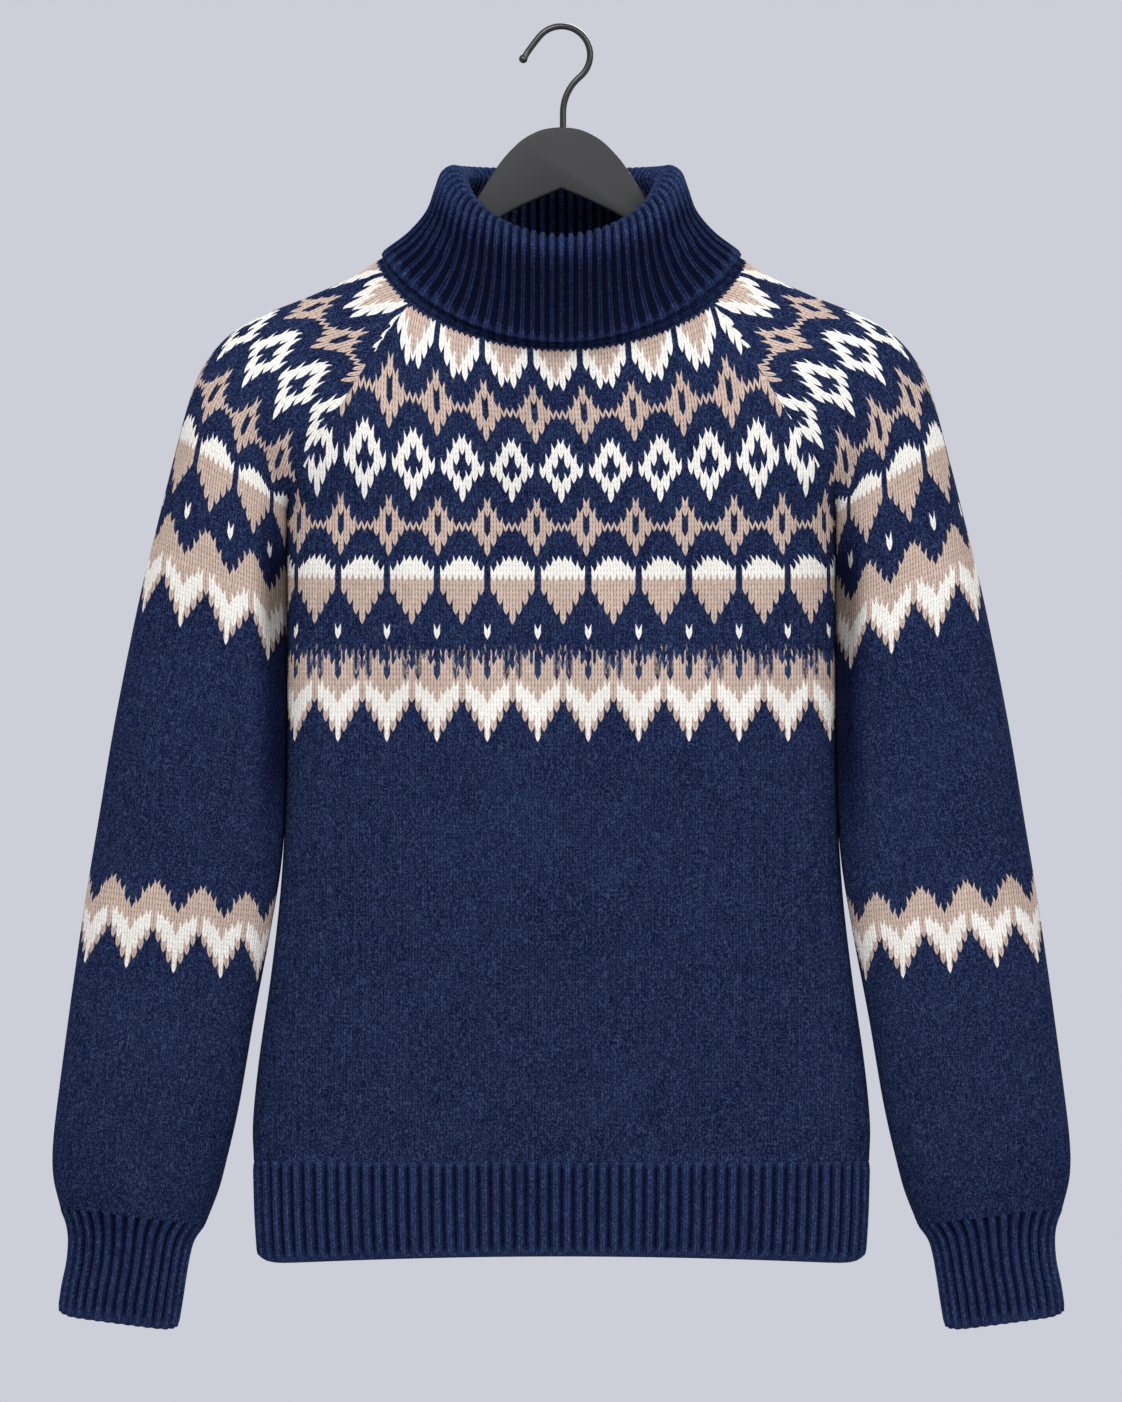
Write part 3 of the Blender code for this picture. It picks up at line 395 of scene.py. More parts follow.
def wool(name, colour, valley=0.0, fleck=0.10, painted_gap_shade=0.5, grain=0.15, spread=(1, 1, 1)):
    """Woollen yarn laid in stitches: each leg of a stitch is a plump strand under a short fuzz of
    curled fibres, with painted shade in the gaps round it, and painted shade where the 'deep'
    attribute says it lies between ribs, on the collar or under the arms. A dyed yarn's painted
    shade and darker tones keep more of its strongest colour; spread is how much each of red, green
    and blue changes with them."""
    material = make_finish(name, {
        "Roughness": 0.95, "Specular IOR Level": 0.06, "Sheen Weight": 0.05,
        "Sheen Roughness": 0.5, "Sheen Tint": (*[min(1.0, 2.0 * c + 0.04) for c in colour], 1.0)})
    nodes, links = material.node_tree.nodes, material.node_tree.links
    shader = nodes["Principled BSDF"]

    def maths(operation, *values):
        made = nodes.new("ShaderNodeMath")
        made.operation = operation
        for socket, value in zip(made.inputs, values):
            if isinstance(value, (int, float)):
                socket.default_value = value
            else:
                links.new(value, socket)
        return made.outputs[0]

    times, plus, minus = (partial(maths, name) for name in ("MULTIPLY", "ADD", "SUBTRACT"))

    def noise(scale, detail):
        made = nodes.new("ShaderNodeTexNoise")
        made.inputs["Scale"].default_value = scale
        made.inputs["Detail"].default_value = detail
        links.new(place.outputs["Object"], made.inputs["Vector"])
        return minus(times(made.outputs["Fac"], 2.0), 1.0)

    def edge(value, power):
        from_middle = maths("ABSOLUTE", minus(maths("FRACT", value), 0.5))
        return maths("POWER", times(from_middle, 2.0), power)

    place = nodes.new("ShaderNodeTexCoord")
    stitch = nodes.new("ShaderNodeSeparateXYZ")
    links.new(place.outputs["UV"], stitch.inputs[0])
    leg = times(stitch.outputs["X"], 2.0)
    row = stitch.outputs["Y"]
    corner = times(edge(leg, CORNER[0]), edge(row, CORNER[0]))
    hollow = plus(times(edge(leg, BESIDE[0]), BESIDE[1]),
                  plus(times(edge(row, BETWEEN[0]), BETWEEN[1]), times(corner, CORNER[1])))
    cell = nodes.new("ShaderNodeCombineXYZ")
    links.new(maths("FLOOR", leg), cell.inputs[0])
    links.new(maths("FLOOR", row), cell.inputs[1])
    chance = nodes.new("ShaderNodeTexWhiteNoise")
    chance.noise_dimensions = "2D"
    links.new(cell.outputs[0], chance.inputs["Vector"])
    differ = times(minus(chance.outputs["Value"], 0.5), 2.0 * fleck)
    fibre, fuzz, uneven = noise(*FIBRE), noise(*FUZZ), noise(*UNEVEN)
    away = times(maths("ABSOLUTE", fuzz), CURL_FALL)
    curls = maths("MAXIMUM", minus(CURL_TOP, away), CURL_FLOOR)
    tone = times(plus(times(fibre, FIBRE_TONE), curls), grain)
    shade = plus(plus(1.0, differ), plus(tone, times(uneven, UNEVEN_TONE)))
    # Painted shade in the gaps round each strand.
    shade = times(shade, minus(1.0, times(hollow, painted_gap_shade)))
    # Painted shade from the 'deep' attribute: between the ribs, on the collar and under the arms.
    if valley:
        deep = nodes.new("ShaderNodeAttribute")
        deep.attribute_name = "deep"
        sunk = maths("POWER", maths("MAXIMUM", deep.outputs["Fac"], 0.0), 1.3)
        shade = times(shade, minus(1.0, times(sunk, valley)))
    shade = maths("MAXIMUM", shade, 0.05)
    grey = nodes.new("ShaderNodeCombineXYZ")
    for socket, power in zip(grey.inputs, spread):
        links.new(maths("POWER", shade, power), socket)
    tint = nodes.new("ShaderNodeMix")
    tint.data_type = "RGBA"
    tint.blend_type = "MULTIPLY"
    tint.inputs["Factor"].default_value = 1.0
    tint.inputs["A"].default_value = (*colour, 1.0)
    links.new(grey.outputs[0], tint.inputs["B"])
    links.new(tint.outputs["Result"], shader.inputs["Base Color"])
    bump = nodes.new("ShaderNodeBump")
    bump.inputs["Strength"].default_value = 0.7
    bump.inputs["Distance"].default_value = 0.0006
    plump = plus(times(fibre, FIBRE_RISE), times(curls, CURL_RISE))
    links.new(minus(plump, hollow), bump.inputs["Height"])
    links.new(bump.outputs["Normal"], shader.inputs["Normal"])
    return material


# How much the navy yarns' red, green and blue change with their painted shade and darker tones.
NAVY_SHADE_SPREAD = (1.28, 1.20, 0.80)     # the spread of the navy dye's red, green and blue
YARNS = (wool("navy_wool", (0.0116, 0.0198, 0.0560), 0.9, fleck=0.20, grain=0.74, spread=NAVY_SHADE_SPREAD),
         wool("cream_wool", (0.664, 0.643, 0.590), 0.75, fleck=0.03, painted_gap_shade=0.36, grain=0.05),
         wool("taupe_wool", (0.460, 0.349, 0.287), 0.8, fleck=0.08, painted_gap_shade=0.76, grain=0.12),
         wool("blue_wool", (0.0200, 0.0345, 0.0880), 0.9, fleck=0.18, grain=0.5, spread=NAVY_SHADE_SPREAD),
         wool("marled_wool", (0.190, 0.155, 0.150), 0.85, fleck=0.30, painted_gap_shade=0.6, grain=0.5),
         wool("navy_inside", (0.0090, 0.0145, 0.0430), fleck=0.2, grain=0.3, spread=NAVY_SHADE_SPREAD))


LIFT_FADE = 1.6               # how late the back's lift fades out, from the middle to the seams


def row_places(extra):
    """Place of every row line of a panel, from the neck to the hem, across its width. The back
    has some extra rows, knitted short, that lift its neck."""
    stages = stages_to(HEM_STAGE)
    middle = np.where(stages <= ARMPIT, read(YOKE, "front_z", stages),
                      read(BODY, "z", stages - ARMPIT) - read(BODY, "fall", stages - ARMPIT))
    heights = TIP_Z + ROW * np.interp(np.arange(NECK_ROW, HEM_ROW - 1, -1.0), *BAND_ROWS)
    at_seam = np.interp(-heights, -middle, stages)
    at_seam[0], at_seam[-1] = 0.0, stages[-1]
    at_seam = np.concatenate((np.zeros(extra), at_seam))
    at_middle = at_seam.copy()
    if extra:
        yoke = int(np.sum(at_seam <= ARMPIT))
        lowest = read(YOKE, "back_z", float(at_seam[yoke - 1]))
        drop = np.linspace(0.0, lowest - NECK["back_z"], yoke)
        fine = np.linspace(0.0, ARMPIT, 200)
        at_middle[:yoke] = np.interp(-drop, NECK["back_z"] - read(YOKE, "back_z", fine), fine)
    spread = np.abs(np.linspace(-1.0, 1.0, ACROSS + 1)) ** LIFT_FADE
    return at_middle[:, None] * (1 - spread) + at_seam[:, None] * spread


PANEL_HALF = 56               # stitches on each side of a panel's middle one
# Rows below the neck, and how far their stitches are set to one side.
NECK_SET = ((0, 5, 15, 26), (0.0045, 0.0038, 0.0010, 0.0))
# From the upper of these rows to the lower one, the bands grow wider and are set aside again.
WIDER_FROM, WIDER, WIDER_SET = (42.5, 45.0), (1.0, 1.02), (0.0, 0.0010)


def make_panel(name, side, extra, seed):
    """Knit one body panel on its surface."""
    rings = [panel_ring(stage, side) for stage in stages_to(HEM_STAGE)]
    points, normals = surface(rings, (0.0, side, 0.0))
    places = row_places(extra)
    across = (np.arange(4 * (2 * PANEL_HALF + 1) + 1) / 4.0 - PANEL_HALF - 0.5) * STITCH
    arcs = np.tile(across, (len(places), 1))
    line = np.arange(len(places))
    arcs -= np.interp(line, *NECK_SET)[:, None]
    arcs *= np.interp(line - extra, WIDER_FROM, WIDER)[:, None]
    arcs += np.interp(line - extra, WIDER_FROM, WIDER_SET)[:, None]
    grid, out, room = lay_columns(points, normals, places, arcs)
    row_numbers = list(range(NECK_ROW + extra - 1, HEM_ROW - 1, -1))
    colours = charted(BODY_CHARTS, row_numbers, np.arange(-PANEL_HALF, PANEL_HALF + 1), seed)
    mesh = bmesh.new()
    lay_grid(mesh, stitched(grid, out, room), colours)
    lay_inside(mesh, grid, out)
    piece = close_cloth(mesh, name, YARNS)
    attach(piece, "root")
    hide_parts(name[:-len("_knit")])


make_panel("front_knit", -1, 0, 11)
make_panel("back_knit", 1, 8, 12)


# ---- sleeves --------------------------------------------------------------------------------
# Raglan sleeves, knitted round in the same wool with the same bands and one more band above the
# cuff. Each cap is sewn to the front and back panels; the tube below the armpit has no seam.
ARM = table(
    "top_x top_z low_x low_z deep square",
    (0.2493, -0.2701, 0.1784, -0.3136, 0.0395, 2.60),
    (0.2590, -0.3091, 0.1783, -0.3468, 0.0392, 2.60),
    (0.2740, -0.3708, 0.1782, -0.4085, 0.0388, 2.60),
    (0.2896, -0.4488, 0.1788, -0.4774, 0.0382, 2.60),
    (0.3000, -0.5112, 0.1816, -0.5346, 0.0376, 2.60),
    (0.3090, -0.5658, 0.1892, -0.5840, 0.0370, 2.60),
    (0.3175, -0.6243, 0.2000, -0.6412, 0.0364, 2.60),
    (0.3253, -0.6828, 0.2098, -0.6984, 0.0356, 2.60),
    (0.3299, -0.7218, 0.2185, -0.7368, 0.0344, 2.55),
    (0.3299, -0.7452, 0.2236, -0.7556, 0.0322, 2.50),
    (0.3253, -0.7654, 0.2317, -0.7764, 0.0280, 2.45))
CUFF_STAGE = ARMPIT + len(ARM["deep"]) - 1
CUFF_ROW = -116
# For a row, counted down from row 0: its stage on the sleeve, how far its columns run round from
# the outer line, in stitches, how wide a stitch is, and how many stages lower the outer line is.
SLEEVE_ROWS = table(
    "row stage shift width tilt",
    (-81, 0, 0, 0.0043, 0), (-72.5, 1.55, 0.2, 0.0044, 0), (-61, 2.83, 1.8, 0.00375, 0),
    (-49, 4.82, 6, 0.00365, 0), (-43, 5.75, 5, 0.00395, 0), (-30.5, 7.245, 6.3, 0.00385, 0),
    (-22, 7.99, 6.4, 0.00398, 0), (-13, 8.48, 7.7, 0.00402, 0), (-12, 8.556, 7.8, 0.00402, 0),
    (-8, 8.72, 8.4, 0.00404, 0), (0, 9.1, 9.5, 0.00396, 0), (50, 11.66, 9.5, 0.00374, 0.09),
    (55, 11.985, 9.6, 0.00378, 0.09), (60, 12.235, 10, 0.00373, 0.09),
    (68, 12.655, 9.8, 0.00385, 0.09), (84, 13.55, 10.2, 0.00372, 0.04),
    (100, 14.75, 10.8, 0.0036, 0), (116, 17, 11, 0.0036, 0))
# The left sleeve's bands sit a little lower: what is added to its rows' stages and shifts.
LEFT_ROWS = table(
    "row stage shift",
    (-61, 0, 0), (-49, 0.05, -1), (-43, 0.12, 0.3), (-30.5, 0.12, 0.9), (-22, 0.12, 0.9),
    (-13, 0.08, 0.8), (-8, 0.08, 0.9), (0, 0.065, 1.2), (50, 0, 0))
# Painted shade on the sleeve's inner side below the armpit, beside the body's edge: heights, and
# how strong the painted shade is at each.
UNDERARM_SHADE = ((-0.56, -0.48, -0.35, -0.305), (0.0, 0.85, 1.0, 0.0))
UNDERARM_SHADE_END, UNDERARM_SHADE_FADE = 0.050, 0.024    # where that stops round the sleeve, and how softly
FIRST_STITCH, LAST_STITCH = -58, 42   # a sleeve's columns, counted round from its outer line
NECK_BLEND = 0.5              # stages over which the neck's oval turns into the sleeve's form
SLEEVE_FEATHERS = (".......T", "T.....TT", "T.....TT", "TT...TTT", "TT...TTT", "TTT.TTTT",
                   "TTTTTTTT", "TTTTTTTT")
SLEEVE_PEAKS = (".......T", "T.....TT", "TT...TTT", "TT...TTT", "TTT.TTTT", "TTTTTTTT")
SLEEVE_CHARTS = YOKE_CHARTS + ((0, 4, SLEEVE_FEATHERS + ZIGZAG), (-68, 4, SLEEVE_PEAKS + ZIGZAG))


def sleeve_half(place, side):
    """Half a ring of the +X sleeve, from the seam or underarm up to its outer line."""
    angle = np.linspace(0.0, 1.0, 4 * ACROSS + 1) ** 1.5
    if place <= ARMPIT:
        name = SIDES[side]
        turn = math.radians(min(read(CAP, name + "_turn", place), 180.0))
        deep, square, top_x, top_z = (read(CAP, column, place)
                                      for column in (name + "_deep", "square", "top_x", "top_z"))
        seam_x, _, seam_z = raglan(place, side)
    else:
        turn = math.pi
        top_x, top_z, seam_x, seam_z, deep, square = (read(ARM, column, place - ARMPIT)
                                                      for column in ARM)
    angle = turn * (1.0 - angle)
    bend = np.cos(angle)
    part = 1.0 - np.sign(bend) * np.abs(bend) ** (2 / square)
    part = part / part[0]
    y = side * deep * np.maximum(np.sin(angle), 0.0) ** (2 / square)
    ring = np.stack((top_x + (seam_x - top_x) * part, y, top_z + (seam_z - top_z) * part), axis=1)
    return even(ring, ACROSS // 2)


def neck_half(side):
    """The same at the neck seam, on its oval."""
    name = SIDES[side]
    start = math.asin(read(CAP, name + "_x", 0.0) / NECK["side_x"])
    theta = np.linspace(start, math.pi / 2, 4 * ACROSS + 1)
    fall = np.cos(theta) ** ROW_FALL
    ring = np.stack((NECK["side_x"] * np.sin(theta), side * NECK[name + "_y"] * np.cos(theta),
                     NECK["side_z"] + (NECK[name + "_z"] - NECK["side_z"]) * fall), axis=1)
    return even(ring, ACROSS // 2)


def sleeve_ring(place, sign):
    """One ring of a sleeve: front seam, outer line, back seam."""
    halves = []
    for side in SIDES:
        half = sleeve_half(max(place, NECK_BLEND), side)
        if place < NECK_BLEND:
            share = place / NECK_BLEND
            half = neck_half(side) * (1 - share) + half * share
        halves.append(half)
    return np.concatenate((halves[0], halves[1][-2::-1])) * (sign, 1.0, 1.0)


def make_sleeve(name, sign, seed):
    """Knit one sleeve on its surface."""
    rings = [sleeve_ring(stage, sign) for stage in stages_to(CUFF_STAGE)]
    points, normals = surface(rings, (sign, 0.0, 0.0))
    below = slice(ARMPIT * STEPS, None)
    underarm = unit(normals[below, 0] + normals[below, -1])
    normals[below, 0] = underarm
    normals[below, -1] = underarm
    row_numbers = list(range(NECK_ROW - 1, CUFF_ROW - 1, -1))
    lines = -np.arange(NECK_ROW, CUFF_ROW - 1, -1.0)
    stage, shift, width, tilt = (np.interp(lines, SLEEVE_ROWS["row"], SLEEVE_ROWS[column])
                                 for column in ("stage", "shift", "width", "tilt"))
    if sign > 0:
        stage = stage + np.interp(lines, LEFT_ROWS["row"], LEFT_ROWS["stage"])
        shift = shift + np.interp(lines, LEFT_ROWS["row"], LEFT_ROWS["shift"])
    inward = np.abs(np.linspace(-1.0, 1.0, ACROSS + 1))
    places = stage[:, None] + tilt[:, None] * (0.5 - inward)[None, :]
    stitches = np.arange(FIRST_STITCH, LAST_STITCH + 1)
    count = np.arange(4 * len(stitches) + 1) / 4.0 + FIRST_STITCH - 0.5
    arcs = -(count[None, :] + shift[:, None]) * width[:, None]
    grid, out, room = lay_columns(points, normals, places, arcs)
    colours = charted(SLEEVE_CHARTS, row_numbers, stitches, seed)
    mesh = bmesh.new()
    # Painted shade on the sleeve's inner side below the armpit, kept in each vertex's 'deep' value.
    shade_reach = np.clip((UNDERARM_SHADE_END - room) / UNDERARM_SHADE_FADE, 0.0, 1.0)
    underarm_painted_shade = shade_reach ** 2 * (3 - 2 * shade_reach) * np.interp(grid[..., 2], *UNDERARM_SHADE)
    lay_grid(mesh, stitched(grid, out, room), colours, underarm_painted_shade)
    armpit_line = int(np.argmax(stage >= ARMPIT))
    lay_inside(mesh, grid, out, (armpit_line - 1, armpit_line))
    piece = close_cloth(mesh, name + "_knit", YARNS)
    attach(piece, "root")
    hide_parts(name)


make_sleeve("sleeve_left", 1, 13)
make_sleeve("sleeve_right", -1, 14)


# ---- hem and cuffs --------------------------------------------------------------------------
# One-by-one ribbing in the same navy wool, knitted on from the panels' and sleeves' last rows.
# Each rib is a rounded cord of stitches, the purl columns between them sunk out of sight.
HEM_RIBS, CUFF_RIBS = 112, 30
RIB_CLOTH = 0.0032            # thickness of the ribbed cloth
# For a rib's eight columns: how far out of the cloth each is, how much painted shade it has for
# lying deep between the cords, and how many rows it is drawn up.
RIB_SHAPE = (-0.0017, -0.0014, -0.0002, 0.0012, 0.0009, 0.0012, -0.0002, -0.0014)
RIB_SHADE = (1.00, 0.90, 0.40, 0.00, 0.35, 0.00, 0.40, 0.90)
RIB_LEAN = (1.0, 0.75, 0.5, 0.25, 0.0, 0.25, 0.5, 0.75)


def across_skin(rings):
    """Directions across the skin of a stack of closed rings."""
    along = np.roll(rings, -1, axis=1) - np.roll(rings, 1, axis=1)
    return unit(np.cross(along, np.gradient(rings, axis=0)))


def repeated(values, rings, raised):
    """A rib's eight values all round the rings, each ring with its share of them."""
    return np.resize(values, rings.shape[1]) * raised[:, None]


def ribs(rings, raised):
    """Raise the ribs of a stack of closed rings and give each point its painted shade for lying
    deep between the cords.
    """
    rings = np.array(rings)
    out = across_skin(rings)
    out *= np.sign(np.sum(out[1] * (rings[1] - rings[1].mean(axis=0))))
    line = np.arange(len(rings))[:, None]
    lean = repeated(RIB_LEAN, rings, raised) * (line < len(rings) - 1)
    rise = repeated(RIB_SHAPE, rings, raised)
    return between(rings, line - lean) + out * rise[..., None], repeated(RIB_SHADE, rings, raised)


def closed_tube(points, painted_depths, name, materials):
    """A piece from rings that go round a tube and round its section: the first ring is the
    neighbour of the last one, and its edge is crisp."""
    mesh = bmesh.new()
    points, painted_depths = (np.pad(array, ((0, 1), (0, 1), (0, 0))[:array.ndim], mode="wrap")
                      for array in (points, painted_depths))
    lay_grid(mesh, points, np.zeros(painted_depths.shape, int), painted_depths)
    rim = mesh.verts.layers.int["rim"]
    for edge in mesh.edges:
        if all(vert[rim] // 10 != 1 for vert in edge.verts):
            edge.smooth = False
    return make_piece(mesh, name, materials)


def even_closed(points, count):
    """A closed ring's points at equal distances, the last one left out."""
    return even(np.concatenate((points, points[:1])), count)[:-1]


def spaced(*runs):
    """Places from one row of a table to another, in runs of some points each."""
    places = [np.linspace(start, end, count)[:-1] for start, end, count in runs]
    return np.concatenate(places + [[float(runs[-1][1])]])


# Heights of the band's top and lower edge, how far the edge falls from the middle to the
# sides, and how much its corners are rounded.
HEM_TOP_Z, HEM_LOW_Z, HEM_FALL, HEM_CORNER = -0.7355, -0.8005, 0.0055, 0.0030


def hem_ring(half_width, half_depth, drop):
    """One ring of the hem band; drop is 0 at its top and 1 at its bottom edge."""
    theta = np.linspace(-math.pi, math.pi, 4001)[:-1]
    x, y = (np.sign(v) * np.abs(v) ** (2 / BODY_SQUARE) for v in (np.sin(theta), -np.cos(theta)))
    bottom = HEM_LOW_Z + HEM_FALL * (1.0 - x ** 2) + HEM_CORNER * np.abs(x) ** 40
    z = HEM_TOP_Z + (bottom - HEM_TOP_Z) * drop
    ring = np.stack((half_width * x, half_depth * y, z), axis=1)
    return even_closed(ring, len(RIB_SHAPE) * HEM_RIBS)


rib_wool = partial(wool, fleck=0.20, painted_gap_shade=0.70, grain=0.50, spread=(1.12, 1.05, 0.80))
RIB_YARN = (rib_wool("navy_ribs", (0.0176, 0.0311, 0.0815), valley=0.87),)
# From the top of the band down its outside, over the lower edge and up inside.
HEM = table(
    "half_width half_depth drop raised",
    (0.1996, 0.0400, -0.01, 0.0), (0.1993, 0.0400, 0.12, 1.0), (0.1985, 0.0400, 0.55, 1.0),
    (0.1970, 0.0394, 0.93, 1.0), (0.1961, 0.0389, 0.985, 0.3), (0.1945, 0.0374, 1.012, 0.1),
    (0.1932, 0.0361, 0.98, 0.0), (0.1953, 0.0368, 0.55, 0.0), (0.1964, 0.0368, 0.00, 0.0))
HEM_LINES = spaced((0, 1, 4), (1, 2, 10), (2, 3, 9), (3, 6, 10), (6, 8, 6))


def make_hem():
    """The band round the body's lower edge."""
    sizes = [[read(HEM, column, place) for place in HEM_LINES] for column in HEM]
    rings = [hem_ring(*row[:3]) for row in zip(*sizes)]
    points, painted_depths = ribs(rings, np.clip(sizes[3], 0.0, 1.0))
    piece = closed_tube(points, painted_depths, "hem_rib_knit", RIB_YARN)
    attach(piece, "root")
    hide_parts("hem_rib")


CUFF = table(
    "top_x top_z low_x low_z deep square",
    (0.3253, -0.7648, 0.2317, -0.7758, 0.0279, 2.45),
    (0.3211, -0.7758, 0.2389, -0.7855, 0.0236, 2.40),
    (0.3197, -0.7868, 0.2421, -0.7953, 0.0222, 2.40),
    (0.3208, -0.8011, 0.2447, -0.8096, 0.0218, 2.40),
    (0.3240, -0.8167, 0.2470, -0.8252, 0.0220, 2.40),
    (0.3263, -0.8354, 0.2499, -0.8455, 0.0224, 2.40))
CUFF_CORNER = 0.0026          # how much a cuff's lower corners are rounded
# Lines down a cuff's outside and over its edge, how far in each is set and how much its ribs
# are raised, and then the lines up its inside.
CUFF_OUTER = np.append(np.linspace(0.0, 5.0, 23), (5.06, 5.08))
CUFF_INWARD = np.append(np.zeros(23), (0.0006, 0.0017))
CUFF_RAISED = np.concatenate(((0.25, 0.9), np.ones(20), (0.5, 0.2, 0.1)))
CUFF_INNER = np.linspace(4.96, 0.0, 9)


def cuff_ring(place, inward, sign):
    """One ring of a cuff, drawn in by some way on every side."""
    top_x, top_z, low_x, low_z, deep, square = (read(CUFF, column, place) for column in CUFF)
    run = np.array((low_x - top_x, low_z - top_z))
    run /= np.linalg.norm(run)
    angle = np.linspace(-math.pi, math.pi, 2001)[:-1]
    bend = np.cos(angle)
    part = (1.0 - np.sign(bend) * np.abs(bend) ** (2 / square)) / 2
    y = -(deep - inward) * np.sign(np.sin(angle)) * np.abs(np.sin(angle)) ** (2 / square)
    top = np.array((top_x, top_z)) + run * inward
    low = np.array((low_x, low_z)) - run * inward
    corner = CUFF_CORNER * np.abs(2 * part - 1) ** 12 * np.clip(place - 4.0, 0.0, 1.0)
    ring = np.stack((sign * (top[0] + (low[0] - top[0]) * part), y,
                     top[1] + (low[1] - top[1]) * part + corner), axis=1)
    return even_closed(ring, len(RIB_SHAPE) * CUFF_RIBS)


def make_cuff(name, sign):
    """The band at a sleeve's end."""
    rings = [cuff_ring(place, reach, sign) for place, reach in zip(CUFF_OUTER, CUFF_INWARD)]
    rings += [cuff_ring(place, RIB_CLOTH, sign) for place in CUFF_INNER]
    points, painted_depths = ribs(rings, np.append(CUFF_RAISED, np.zeros(len(CUFF_INNER))))
    piece = closed_tube(points, painted_depths, name + "_knit", RIB_YARN)
    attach(piece, "root")
    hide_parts(name)


make_hem()
make_cuff("cuff_left", 1)
make_cuff("cuff_right", -1)


# ---- roll collar ----------------------------------------------------------------------------
# A deep tube of the same ribbing, picked up round the neck and folded over to the outside. Its
# cords run on over the fold, and its lower edge stands off the shoulders.
COLLAR = table(
    "side_x side_z front_y front_z back_y back_z fall raised",
    (0.1162, -0.1517, 0.0574, -0.2086, 0.0494, -0.1473, 1.28, 0.0),
    (0.0945, -0.1425, 0.0545, -0.1850, 0.0470, -0.1340, 1.30, 0.8),
    (0.0640, -0.1010, 0.0495, -0.1490, 0.0420, -0.1030, 1.25, 1.0),
    (0.0636, -0.0928, 0.0505, -0.1388, 0.0428, -0.0930, 1.25, 1.0),
    (0.0696, -0.0890, 0.0550, -0.1351, 0.0468, -0.0897, 1.25, 1.0),
    (0.0770, -0.0928, 0.0622, -0.1392, 0.0530, -0.0938, 1.27, 1.0),
    (0.0815, -0.1040, 0.0652, -0.1500, 0.0560, -0.1090, 1.32, 1.0),
    (0.0870, -0.1185, 0.0634, -0.1690, 0.0562, -0.1270, 1.40, 1.0),
    (0.0990, -0.1326, 0.0644, -0.1880, 0.0604, -0.1410, 1.50, 1.0),
    (0.1146, -0.1445, 0.0712, -0.2026, 0.0690, -0.1545, 1.60, 1.0),
    (0.1142, -0.1470, 0.0690, -0.2040, 0.0668, -0.1560, 1.60, 0.1),
    (0.0970, -0.1356, 0.0612, -0.1885, 0.0572, -0.1418, 1.50, 0.0),
    (0.0786, -0.1040, 0.0594, -0.1500, 0.0514, -0.1090, 1.32, 0.0),
    (0.0706, -0.0920, 0.0550, -0.1385, 0.0468, -0.0960, 1.26, 0.0),
    (0.0674, -0.1010, 0.0524, -0.1490, 0.0448, -0.1045, 1.25, 0.0),
    (0.0962, -0.1402, 0.0575, -0.1850, 0.0498, -0.1335, 1.30, 0.3),
    (0.1174, -0.1494, 0.0600, -0.2080, 0.0520, -0.1467, 1.28, 0.4))
COLLAR_RIBS = 72
CORD_WIDTH = 0.0702           # half width of the ring on which the cords are evenly spaced
# From the neck seam up the inside of the roll, over the fold, down to its lower edge and back.
COLLAR_LINES = spaced((0, 1, 9), (1, 2, 15), (2, 5, 10), (5, 9, 22), (9, 11, 6), (11, 15, 9),
                      (15, 16, 6))
# How much painted shade the gaps between the cords keep at the lower edge, and the painted shade
# that darkens the roll everywhere but over its fold, most on its outer layer's lower part.
EDGE_GAP_SHADE = ((8.72, 8.88, 9.1), (1.0, 0.35, 0.35))
COLLAR_PAINTED_SHADE = ((0, 2, 3, 5.4, 6.5, 8.6, 8.9, 9.2, 9.6),
            (0.40, 0.25, 0.0, 0.0, 0.60, 0.60, 0.34, 0.42, 0.5))
BACK_SHARE = 0.5              # how much of that the cords have behind the neck
GAP_PAINTED_SHADE, CORD_PAINTED_SHADE = 0.8, 1.17   # how much it darkens the gaps and the cords
# The collar's copy of the rib yarn is a little lighter, painted light for its fold, with stronger
# painted shade in its gaps.
COLLAR_LIT_YARN = (rib_wool("navy_collar", (0.0187, 0.0329, 0.0862), valley=0.94),)


def collar_ring(place):
    """One ring of the collar. Its cords keep their spacing in the middle and fan out at the
    sides, where the ring is wider."""
    side_x, side_z, front_y, front_z, back_y, back_z, fall = (
        read(COLLAR, column, place) for column in list(COLLAR)[:-1])
    spread = max(0.0, 1.0 - CORD_WIDTH / side_x)
    count = len(RIB_SHAPE) * COLLAR_RIBS
    turn = 2 * math.pi * (np.arange(count) - 4) / count
    sine = (1 - spread) * np.sin(turn) + spread * np.sin(turn) ** 3
    cosine = np.sqrt(np.maximum(1.0 - sine ** 2, 0.0)) * np.sign(np.cos(turn))
    ahead = cosine >= 0
    z = side_z + (np.where(ahead, front_z, back_z) - side_z) * np.abs(cosine) ** fall
    return np.stack((side_x * sine, -np.where(ahead, front_y, back_y) * cosine, z), axis=1)


def make_collar():
    """The folded collar, one closed section all round the neck."""
    rings = np.array([collar_ring(place) for place in COLLAR_LINES])
    share = np.clip([read(COLLAR, "raised", place) for place in COLLAR_LINES], 0.0, 1.0)
    points = rings - across_skin(rings) * repeated(RIB_SHAPE, rings, share)[..., None]
    painted_depths = repeated(RIB_SHADE, rings, share * np.interp(COLLAR_LINES, *EDGE_GAP_SHADE))
    # Painted shade on the roll everywhere but over its fold, less behind the neck.
    ahead = np.cos(2 * math.pi * (np.arange(rings.shape[1]) - 4) / rings.shape[1])
    around = (1 + BACK_SHARE) / 2 + (1 - BACK_SHARE) / 2 * ahead
    collar_shade = np.interp(COLLAR_LINES, *COLLAR_PAINTED_SHADE)[:, None] * around
    painted_depths = np.minimum(painted_depths * (1.0 + GAP_PAINTED_SHADE * collar_shade) + CORD_PAINTED_SHADE * collar_shade, 1.0)
    piece = closed_tube(points, painted_depths, "roll_collar_knit", COLLAR_LIT_YARN)
    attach(piece, "root")
    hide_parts("roll_collar")


make_collar()


